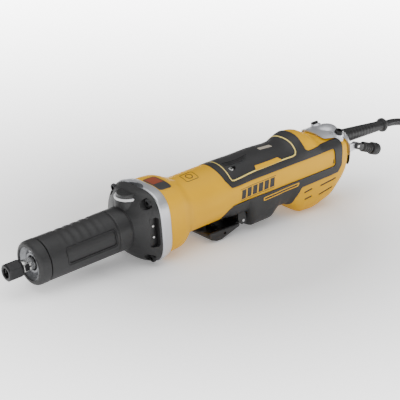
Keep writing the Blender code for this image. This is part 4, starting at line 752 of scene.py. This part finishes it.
# ---- rubber overmould ----------------------------------------------------------------------------
# One skin of black rubber moulded over the handle: the saddle on top, the frame round the
# yellow side strip, and the grip above the paddle. A yellow strip stays clear on each side.
COVER = [(0.0968, 0.060), (0.0975, 0.0290), (0.1000, 0.0185), (0.1050, 0.0104), (0.1800, 0.0095),
         (0.2512, 0.0088), (0.2518, -0.0112), (0.1800, -0.0106), (0.1060, -0.0092), (0.1000, -0.0125),
         (0.0945, -0.0190), (0.0940, -0.060), (0.1870, -0.060), (0.1930, -0.0310), (0.2010, -0.0203),
         (0.2550, -0.0200), (0.2612, -0.0130), (0.2642, 0.0115), (0.2615, 0.0160), (0.2150, 0.0168),
         (0.2108, 0.0195), (0.2100, 0.0270), (0.2125, 0.060)]


def skin(area, out=0.0012, under=-0.0003, front=0.088):
    """The layer over the housing within a prism, or within an outline seen from the side."""
    if isinstance(area, list):
        area = prism(area, -0.06, 0.06)
    layer = carve(body_form(out, front), area, "INTERSECT")
    return carve(layer, body_form(under, front and front - 0.004))


cover = skin(rounded(COVER, 0.0032))
cover = carve(cover, rod(-0.050, -0.020, 0.0030, 32, "Z", (0.1135, 0, 0)))
cover = carve(cover, prism([(0.1172, -0.050), (0.1300, -0.050), (0.1300, -0.020), (0.1172, -0.020)],
                           -0.0203, 0.0203))
well = rod(-0.006, 0.006, 0.0044, 48, "Z")
well.transform(SCREW_WELL)
cover = carve(cover, well)
piece("handle_overmould", cover, overmould, "tool",
      ["saddle_grip", "side_band_left", "side_band_right", "lower_grip"], smooth=42)

# ---- inlay lines and prints ----------------------------------------------------------------------
# A thin yellow line inlaid in the saddle runs round it, and widens to a bar on each side. The
# grip has an outlined slot, and plain printed bars fill the yellow strip.
def ribbon(points, width):
    """A band of even width along a line of points."""
    left, right = [], []
    for number, point in enumerate(points):
        before = Vector(points[max(0, number - 1)])
        after = Vector(points[min(len(points) - 1, number + 1)])
        way = (after - before).normalized()
        normal = Vector((-way.y, way.x)) * width / 2
        left.append(tuple(Vector(point) + normal))
        right.append(tuple(Vector(point) - normal))
    return left + right[::-1]


# Pale yellow ink-filled inlay: flat and slightly glossier than the rubber round it.
inlay_yellow = moulded("inlaid_yellow_line", "#F2DC7C", "#E9CF66", 0.45, 1.0, 0.005)
inlay_yellow["slot"] = "housing_yellow"
line_path = [(0.1068, 0.060), (0.1070, 0.0300), (0.1072, 0.0195), (0.1082, 0.0172), (0.1105, 0.0166),
             (0.1420, 0.0174), (0.1700, 0.0174), (0.1940, 0.0168), (0.1972, 0.0178), (0.1990, 0.0205),
             (0.2000, 0.0260), (0.2004, 0.060)]
piece("saddle_line", skin(ribbon(line_path, 0.0011), 0.00135, 0.0008), inlay_yellow, "tool")
bar = rounded([(0.1418, 0.0172), (0.1428, 0.0214), (0.1745, 0.0208), (0.1790, 0.0172)], 0.0005, 2)
piece("saddle_bar", skin(bar, 0.00138, 0.0008), yellow_nylon, "tool")
slot_outer = rounded([(0.1465, -0.0178), (0.1465, -0.0138), (0.1985, -0.0130), (0.1950, -0.0172)], 0.0012, 4)
slot_inner = rounded([(0.1476, -0.0168), (0.1476, -0.0149), (0.1955, -0.0141), (0.1940, -0.0161)], 0.0007, 4)
slot_frame = carve(skin(slot_outer, 0.00135, 0.0008), prism(slot_inner, -0.07, 0.07))
piece("slot_outline", slot_frame, yellow_nylon, "tool")

# Pad-printed bars on the side strip: flat black ink, a little glossier than the plastic.
printing_ink = moulded("pad_printed_black_ink", "#101011", "#0B0B0C", 0.44, 0.8, 0.003)
printing_ink["slot"] = "black_nylon"


def printed(name, mesh_area, material, front=0.088):
    return piece(name, skin(mesh_area, 0.00016, -0.0003, front=front), material, "tool")


bars = []
for number in range(6):
    x = 0.1165 + 0.0080 * number
    bars.append([(x, -0.0060), (x + 0.0016, 0.0036), (x + 0.0076, 0.0036), (x + 0.0060, -0.0060)])
bars.append([(0.1160, 0.0046), (0.1162, 0.0051), (0.1660, 0.0051), (0.1658, 0.0046)])
bars.append([(0.1150, -0.0075), (0.1152, -0.0070), (0.1630, -0.0070), (0.1628, -0.0075)])
for number, outline in enumerate(bars):
    printed(f"printed_bar_{number}", outline, printing_ink)

# The beige plate and three fine ribs on top of the saddle.
beige_plate = moulded("beige_label_plate", "#BDB4A4", "#A89F90", 0.45, 1.6, 0.01)
beige_plate["slot"] = "cast_aluminium"
plate = prism(rounded(oblong(0.1645, -0.0056, 0.1813, -0.0004), 0.0006, 3),
              0.010, 0.060, "XY")
piece("top_plate", skin(plate, 0.0014, 0.0006), beige_plate, "tool")
for number in range(4):
    rib = ribbon([(0.1115, -0.0060 - 0.0021 * number), (0.1210, -0.0075 - 0.0021 * number),
                  (0.1330, -0.0068 - 0.0021 * number), (0.1450 - 0.0020 * number, -0.0050 - 0.0021 * number)],
                 0.0007)
    piece(f"saddle_rib_{number}", skin(prism(rib, 0.010, 0.060, "XY"), 0.0019, 0.0006), overmould, "tool")
cup = turned([(-0.0060, 0), (-0.0060, 0.0045), (-0.0010, 0.0045), (-0.0010, 0.0039), (-0.0040, 0.0039),
              (-0.0040, 0)], 48, "Z")
cup.transform(SCREW_WELL)
piece("saddle_screw_cup", cup, black_nylon, "tool")
clamp_screw = socket_screw(0.0018, 0.0006)
clamp_screw.transform(SCREW_WELL @ Matrix.Translation((0, 0, -0.0039)) @ Matrix.Scale(0.72, 4) @
                      Matrix.Rotation(math.pi / 2, 4, "Y"))
piece("saddle_screw", clamp_screw, ground_steel, "tool")

# A glossy paper label on the flare, dark with one warm band.
label_dark = moulded("laminated_label_dark", "#39393B", "#2C2C2E", 0.34, 1.0, 0.003)
label_dark["slot"] = "black_nylon"
# The same laminate in a warm red-brown.
label_warm = moulded("laminated_label_warm", "#9C4420", "#7E3416", 0.34, 1.0, 0.003)
label_warm["slot"] = "housing_yellow"
strip = rounded(oblong(0.0190, -0.0215, 0.0345, 0.0080), 0.0030, 4)
printed("flare_label", prism(strip, 0.010, 0.060, "XY"), label_dark, None)
band = oblong(0.0205, -0.0090, 0.0330, 0.0065)
piece("flare_label_band", skin(prism(band, 0.010, 0.060, "XY"), 0.00026, 0.0001, front=None),
      label_warm, "tool")

# A printed pictogram on the neck: a rounded outline round a plain ring.
frame_area = prism(rounded(oblong(0.0600, -0.0125, 0.0760, 0.0010), 0.002),
                   0.010, 0.060, "XY")
frame_inner = prism(rounded(oblong(0.0606, -0.0119, 0.0754, 0.0004), 0.0015),
                    0.005, 0.070, "XY")
printed("neck_frame", carve(frame_area, frame_inner), printing_ink, None)
ring_area = turned([(0.010, 0.0031), (0.060, 0.0031), (0.060, 0.0040), (0.010, 0.0040)],
                   40, "Z", (0.0680, -0.0058, 0))
printed("neck_ring", ring_area, printing_ink, None)

# ---- rear bracket --------------------------------------------------------------------------------
# A cast aluminium plate over the top rear corner holds the strain relief; two black socket
# screws on raised bosses clamp it, and an eye at its back carries the tether.
BRACKET = [(REAR - 0.0420, 0.060), (REAR - 0.0420, 0.0200), (REAR - 0.0300, 0.0182), (REAR - 0.0190, 0.0165),
           (REAR - 0.0120, 0.0120), (REAR - 0.0060, 0.0020), (REAR - 0.0050, -0.0118),
           (REAR + 0.010, -0.0118), (REAR + 0.010, 0.060)]
bracket = skin(prism(rounded(BRACKET, 0.0035), -0.06, 0.06), 0.0024, -0.0002, front=0.22)
TETHER = Vector((0.2975, -0.0130, -0.0060))
eye_root = REAR + 0.0012
eye = [(eye_root, TETHER.z - 0.0045), (eye_root, TETHER.z + 0.0045), (TETHER.x, TETHER.z + 0.0038)]
for step in range(1, 20):
    angle = math.pi / 2 - math.pi * step / 20
    eye.append((TETHER.x + 0.0038 * math.cos(angle), TETHER.z + 0.0038 * math.sin(angle)))
eye.append((TETHER.x, TETHER.z - 0.0038))
bracket = carve(bracket, prism(eye, TETHER.y - 0.0015, TETHER.y + 0.0015), "UNION")
dome_arc = [(0.0105 * math.sin(math.radians(9 * i)), 0.0135 * math.cos(math.radians(9 * i)))
            for i in range(1, 10)]
dome = turned([(0, 0), (0, 0.0135)] + dome_arc + [(0.0105, 0)], 64, "Z")
dome.transform(Matrix.Translation((REAR - 0.0200, 0, 0.0148)) @ Matrix.Diagonal((1.15, 1, 1, 1)))
bracket = carve(bracket, carve(dome, body_form(-0.0002, 0.22)), "UNION")
bosses = []
for side in (-1, 1):
    boss_place = Matrix.Translation((REAR - 0.0183, side * 0.0174, 0.0185)) @ \
        Matrix.Rotation(-math.radians(24) * side, 4, "X")
    bosses.append(boss_place)
    boss = turned([(-0.0050, 0), (-0.0050, 0.0080), (0.0002, 0.0064), (0.0016, 0.0058), (0.0021, 0.0053),
                   (0.0021, 0)], 48, "Z")
    boss.transform(boss_place)
    boss = carve(boss, body_form(-0.0002, 0.22))
    bracket = carve(bracket, boss, "UNION")
    drill = rod(-0.012, 0.004, 0.0023, 32, "Z")
    drill.transform(boss_place)
    bracket = carve(bracket, drill)
bracket = carve(bracket, rod(REAR - 0.015, REAR + 0.02, 0.0083, 64, "X", (0, 0, 0.004)))
bracket = carve(bracket, rod(-0.005, 0.005, 0.0021, 32, "Y", TETHER))
bracket = carve(bracket, rod(0.018, 0.040, 0.0008, 24, "Z", (REAR - 0.0265, -0.0145, 0)))
foot = [(REAR - 0.0052, -0.0120), (REAR + 0.0100, -0.0120), (REAR + 0.0100, -0.0225), (REAR - 0.0044, -0.0225)]
piece("bracket_foot_pad", skin(rounded(foot, 0.0015), 0.0022, -0.0002, 0.22), black_nylon, "tool")
piece("cast_bracket", bracket, cast_aluminium, "tool", ["rear_bracket"], smooth=42)
for name, boss_place in zip(("left", "right"), bosses):
    screw = socket_screw(0.0030, 0.0085)
    screw.transform(boss_place @ Matrix.Translation((0, 0, 0.0022)) @ Matrix.Rotation(math.pi / 2, 4, "Y"))
    piece("socket_screw_bracket_" + name, screw, black_oxide, "tool", ["bracket_screw_" + name])

# ---- strain relief -------------------------------------------------------------------------------
# A tapered rubber sleeve round the cord, with a thick rim at its tip, moulded level with the
# bench while the tool leans on its flange.
RELIEF = Matrix.Translation(TOOL @ Vector((REAR + 0.0027, 0, 0.0040)))
TIP = 0.068
relief_profile = [(0, 0.0044), (0, 0.0076), (0.0006, 0.0080), (0.0040, 0.0080), (0.0060, 0.0077)]
for step in range(9):
    place = 0.0085 + 0.0048 * step
    width = 0.0080 - 0.0025 * (place - 0.004) / (TIP - 0.0102)
    relief_profile += [(place, width), (place + 0.0004, width - 0.0002), (place + 0.0010, width - 0.0002),
                       (place + 0.0014, width - 0.0001)]
relief_profile += [(TIP - 0.0068, 0.0055), (TIP - 0.0060, 0.0057), (TIP - 0.0052, 0.0070),
                   (TIP - 0.0046, 0.0077),
                   (TIP - 0.0034, 0.0080), (TIP - 0.0020, 0.0079), (TIP - 0.0008, 0.0073), (TIP, 0.0062),
                   (TIP, 0.0044)]
piece("relief_sleeve", turned(relief_profile, 96), cord_rubber, "tool", ["strain_relief"], RELIEF)

# ---- tether --------------------------------------------------------------------------------------
# A short hang tether: a nylon fork pinned to the bracket's eye, then a ribbed rubber barrel
# and its round cap, which turn on the fork.
HANG = TOOL @ Matrix.Translation(TETHER) @ Matrix.Rotation(math.radians(24), 4, "Y")
fork = prism(rounded([(-0.0036, -0.0036), (0.0095, -0.0036), (0.0095, 0.0036), (-0.0036, 0.0036)], 0.0032, 6),
             -0.0046, 0.0046, edge=0.0008)
fork = carve(fork, prism([(-0.010, -0.010), (0.0048, -0.010), (0.0048, 0.010), (-0.010, 0.010)],
                         -0.0018, 0.0018))
fork = carve(fork, rod(-0.010, 0.010, 0.0021, 32, "Y"))
piece("tether_fork", fork, black_nylon, "tether_clevis", ["tether_clevis"], HANG)
rivet = turned([(-0.0050, 0), (-0.0050, 0.0012), (-0.0046, 0.0018), (0.0046, 0.0018), (0.0050, 0.0012),
                (0.0050, 0)], 32, "Y")
piece("tether_rivet", rivet, ground_steel, "tether_clevis", ["tether_pin"], HANG)
barrel_profile = [(0.0098, 0), (0.0098, 0.0046)]
for rib in range(4):
    place = 0.0106 + 0.0035 * rib
    barrel_profile += [(place, 0.0050), (place + 0.0003, 0.0055), (place + 0.0008, 0.0057),
                       (place + 0.0018, 0.0057), (place + 0.0023, 0.0055), (place + 0.0026, 0.0050)]
barrel_profile += [(0.0246, 0.0050), (0.0246, 0)]
piece("tether_ribbed_barrel", turned(barrel_profile, 64), moulded_rubber_plug, "tether_barrel",
      ["tether_barrel"], HANG)
cap_profile = [(0.0249, 0), (0.0249, 0.0060), (0.0252, 0.0066), (0.0259, 0.0070), (0.0334, 0.0070),
               (0.0348, 0.0067), (0.0359, 0.0060), (0.0368, 0.0048), (0.0373, 0.0030), (0.0373, 0)]
piece("tether_round_cap", turned(cap_profile, 64), moulded_rubber_plug, "tether_barrel", ["tether_cap"], HANG)

# ---- paddle, its mount and the lock-off lever ----------------------------------------------------
# The paddle is a moulded nylon tray hinged at its rear; squeezed to the handle it pushes the
# switch. A finger lever in its floor has to be swung first.
HINGE = Vector((START + 0.0245, 0, -0.0350))
front_face, top, foot = HINGE.x - 0.0070, HINGE.z + 0.0095, HINGE.z - 0.0035
lugs = rounded([(front_face, top), (front_face, HINGE.z + 0.0025), (HINGE.x - 0.0030, foot),
                (HINGE.x + 0.0035, foot), (HINGE.x + 0.0035, top)], 0.0006, 3)
mount = prism(lugs, -0.0200, 0.0200)
mount = carve(mount, prism([(front_face - 0.001, HINGE.z - 0.015), (HINGE.x + 0.005, HINGE.z - 0.015),
                            (HINGE.x + 0.005, HINGE.z + 0.0038), (front_face - 0.001, HINGE.z + 0.0038)],
                           -0.0163, 0.0163))
mount = carve(mount, body_form(0.0003, 0.09))
mount = carve(mount, rod(-0.03, 0.03, 0.0018, 32, "Y", HINGE))
piece("paddle_hinge_block", mount, black_nylon, "tool", ["paddle_mount"])

tip, drop, sheet, wide = -0.0445, -0.0105, 0.0022, 0.0215
tray_outline = rounded([(tip - 0.0035, 0.0010), (tip - 0.0030, -0.0040), (tip, drop + 0.0030),
                        (tip + 0.0065, drop + 0.0002), (tip + 0.0130, drop - 0.0003), (-0.0062, -0.0038),
                        (-0.0062, -0.0004)], 0.0030, 6)
lever = prism(tray_outline, -wide, wide, edge=0.0014, segments=4)
inside = rounded([(tip - 0.0013, 0.0080), (tip - 0.0006, -0.0035), (tip + 0.0020, drop + 0.0044),
                  (tip + 0.0070, drop + sheet), (tip + 0.0130, drop - 0.0003 + sheet), (-0.0040, -0.0018),
                  (-0.0040, 0.0080)], 0.0022, 6)
lever = carve(lever, prism(inside, -wide + sheet, wide - sheet))
lever = carve(lever, prism([(-0.0075, -0.00345), (-0.0075, -0.0016), (0, 0.0012), (0, -0.0033)],
                           -0.0158, 0.0158), "UNION")
for rib in range(5):
    x = tip + 0.0125 + 0.0040 * rib
    floor_z = drop - 0.0003 + sheet + (0.0004 + 0.0040 * rib) * 0.24
    rise = prism(oblong(x, floor_z - 0.0006, x + 0.0008, floor_z + 0.0011), -wide + 0.0015, -0.0085)
    lever = carve(lever, rise, "UNION")
handle = body_form(0.0005, 0.06)
handle.transform(Matrix.Rotation(-math.radians(8), 4, "Y") @ Matrix.Translation(-HINGE))
lever = carve(lever, handle)
lever = carve(lever, turned([(-0.0158, 0), (-0.0158, 0.0030), (-0.0156, 0.0032), (0.0156, 0.0032),
                             (0.0158, 0.0030), (0.0158, 0)], 48, "Y"), "UNION")
LEVER = Vector((-0.0270, 0, -0.0046))
for side in (-1, 1):
    ear = prism([(LEVER.x - 0.0028, -0.0102), (LEVER.x - 0.0024, LEVER.z + 0.0022),
                 (LEVER.x + 0.0024, LEVER.z + 0.0022), (LEVER.x + 0.0032, -0.0080)],
                *reach(side, 0.0052, 0.0070))
    lever = carve(lever, ear, "UNION")
lever = carve(lever, prism([(LEVER.x - 0.0030, -0.015), (LEVER.x + 0.0055, -0.015), (LEVER.x + 0.0055, -0.005),
                            (LEVER.x - 0.0030, -0.005)], -0.0048, 0.0048))
for centre, radius in ((Vector((0, 0, 0)), 0.0018), (LEVER, 0.0015)):
    bore = rod(-0.03, 0.03, radius, 32, "Y", centre)
    lever = carve(lever, bore)
PADDLE = TOOL @ Matrix.Translation(HINGE)
piece("paddle_lever", lever, black_nylon, "paddle", ["paddle"], PADDLE, smooth=42)
trigger = prism(rounded([(-0.0024, 0.0016), (-0.0028, -0.0030), (-0.0016, -0.0068), (0.0014, -0.0068),
                         (0.0026, -0.0030), (0.0026, 0.0012), (0.0012, 0.0040), (-0.0018, 0.0040)], 0.0014, 5),
                -0.0044, 0.0044, edge=0.0006)
trigger = carve(trigger, rod(-0.01, 0.01, 0.0015, 24, "Y"))
piece("finger_lever", trigger, black_nylon, "lock_off_lever", ["lock_off_lever"],
      PADDLE @ Matrix.Translation(LEVER))

# ---- motor, bearings, switch and plug blades -----------------------------------------------------
# Hidden in the case and housing: bearing steel, a laminated core with copper windings, a
# nylon fan and switch. These keep their plain forms and get their real materials.
bearing_steel = metal("bearing_steel", "#C9CACC", "#B2B3B6", 0.20, 0.06, 0.2, 10, 0.003)
# Core laminations: dull grey sheets with long marks.
lamination = metal("stacked_core_laminations", "#8C8E93", "#6E7076", 0.40, 0.10, 0.5, 40, 0.05)
# Enamelled copper wire: glossy red-brown strands.
enamelled_copper = metal("enamelled_copper_wire", "#B4672E", "#8E4A1C", 0.30, 0.10, 0.8, 40, 0.10, 0.9)
# Stamped brass: warm, smooth and bright.
stamped_brass = metal("stamped_brass", "#D2B36A", "#BC9A4C", 0.26, 0.08, 0.4, 8, 0.005)
inner_finishes = {
    bearing_steel: ["front_bearing", "rear_bearing", "mid_bearing", "rotor_bearing", "rotor_shaft",
                    "lock_hub", "lock_pin", "paddle_pin", "lever_pin"],
    lamination: ["stator_core", "rotor_core"],
    enamelled_copper: ["winding_front", "winding_rear"],
    black_nylon: ["fan", "switch_body", "switch_plunger", "control_module", "motor_end_plate"],
    stamped_brass: ["plug_blade_left", "plug_blade_right"]}
for material, nodes in inner_finishes.items():
    for node in nodes:
        slots = bpy.data.objects[node].data.materials
        for number in range(len(slots)):
            slots[number] = material

# ---- floor and light -----------------------------------------------------------------------------
# A white sweep that glows with painted light, under a large soft light from above and in front, with fill from
# both sides.
bm = bmesh.new()
bmesh.ops.create_grid(bm, x_segments=1, y_segments=1, size=4)
floor_mesh = bpy.data.meshes.new("floor")
bm.to_mesh(floor_mesh)
bm.free()
floor = bpy.data.objects.new("floor", floor_mesh)
floor.location.z = -0.0004
bpy.context.scene.collection.objects.link(floor)
# White paper sweep: matt white with a faint fibre, and a painted glow of its own, faint under the tool and much
# brighter further out.
paper = bpy.data.materials.new("white_paper_painted_glow")
paper.use_nodes = True
tree = paper.node_tree
fibre = add_node(tree, "TexNoise", {"Vector": add_node(tree, "TexCoord").outputs["Object"], "Scale": 900})
tone = add_node(tree, "Mix", {0: fibre.outputs["Fac"], 6: hexed("#FAFAFA"), 7: hexed("#FDFDFD")},
                data_type="RGBA")
tree.links.new(tone.outputs[2], tree.nodes["Principled BSDF"].inputs["Base Color"])
tree.nodes["Principled BSDF"].inputs["Roughness"].default_value = 0.9
# Painted glow: the paper emits light whose strength rises with distance from the middle of the floor under the
# tool.
away = add_node(tree, "VectorMath", {0: add_node(tree, "NewGeometry").outputs["Position"]},
                operation="LENGTH")
painted_glow = add_node(tree, "MapRange", {"Value": away.outputs["Value"], "From Min": 0.15, "From Max": 1.1,
                                   "To Min": 0.25, "To Max": 7.0})
tree.nodes["Principled BSDF"].inputs["Emission Color"].default_value = (1, 1, 1, 1)
tree.links.new(painted_glow.outputs["Result"], tree.nodes["Principled BSDF"].inputs["Emission Strength"])
floor_mesh.materials.append(paper)


def soft_light(name, place, aim, size, power):
    light = bpy.data.objects.new(name, bpy.data.lights.new(name, "AREA"))
    light.data.shape = "RECTANGLE"
    light.data.size, light.data.size_y = size
    light.data.energy = power
    light.location = place
    light.rotation_euler = (Vector(place) - Vector(aim)).to_track_quat("Z", "Y").to_euler()
    bpy.context.scene.collection.objects.link(light)


soft_light("overhead", (-0.1, -0.1, 1.5), (0, 0, 0), (2.2, 1.8), 24)
soft_light("front_left", (-1.3, -1.3, 0.9), (0, 0, 0.05), (1.0, 0.8), 3)
soft_light("right_fill", (0.9, -1.5, 0.6), (0, 0, 0.05), (1.0, 0.8), 1)
world = bpy.data.worlds.new("studio")
world.use_nodes = True
world.node_tree.nodes["Background"].inputs["Color"].default_value = (1, 1, 1, 1)
world.node_tree.nodes["Background"].inputs["Strength"].default_value = 0.3
bpy.context.scene.world = world
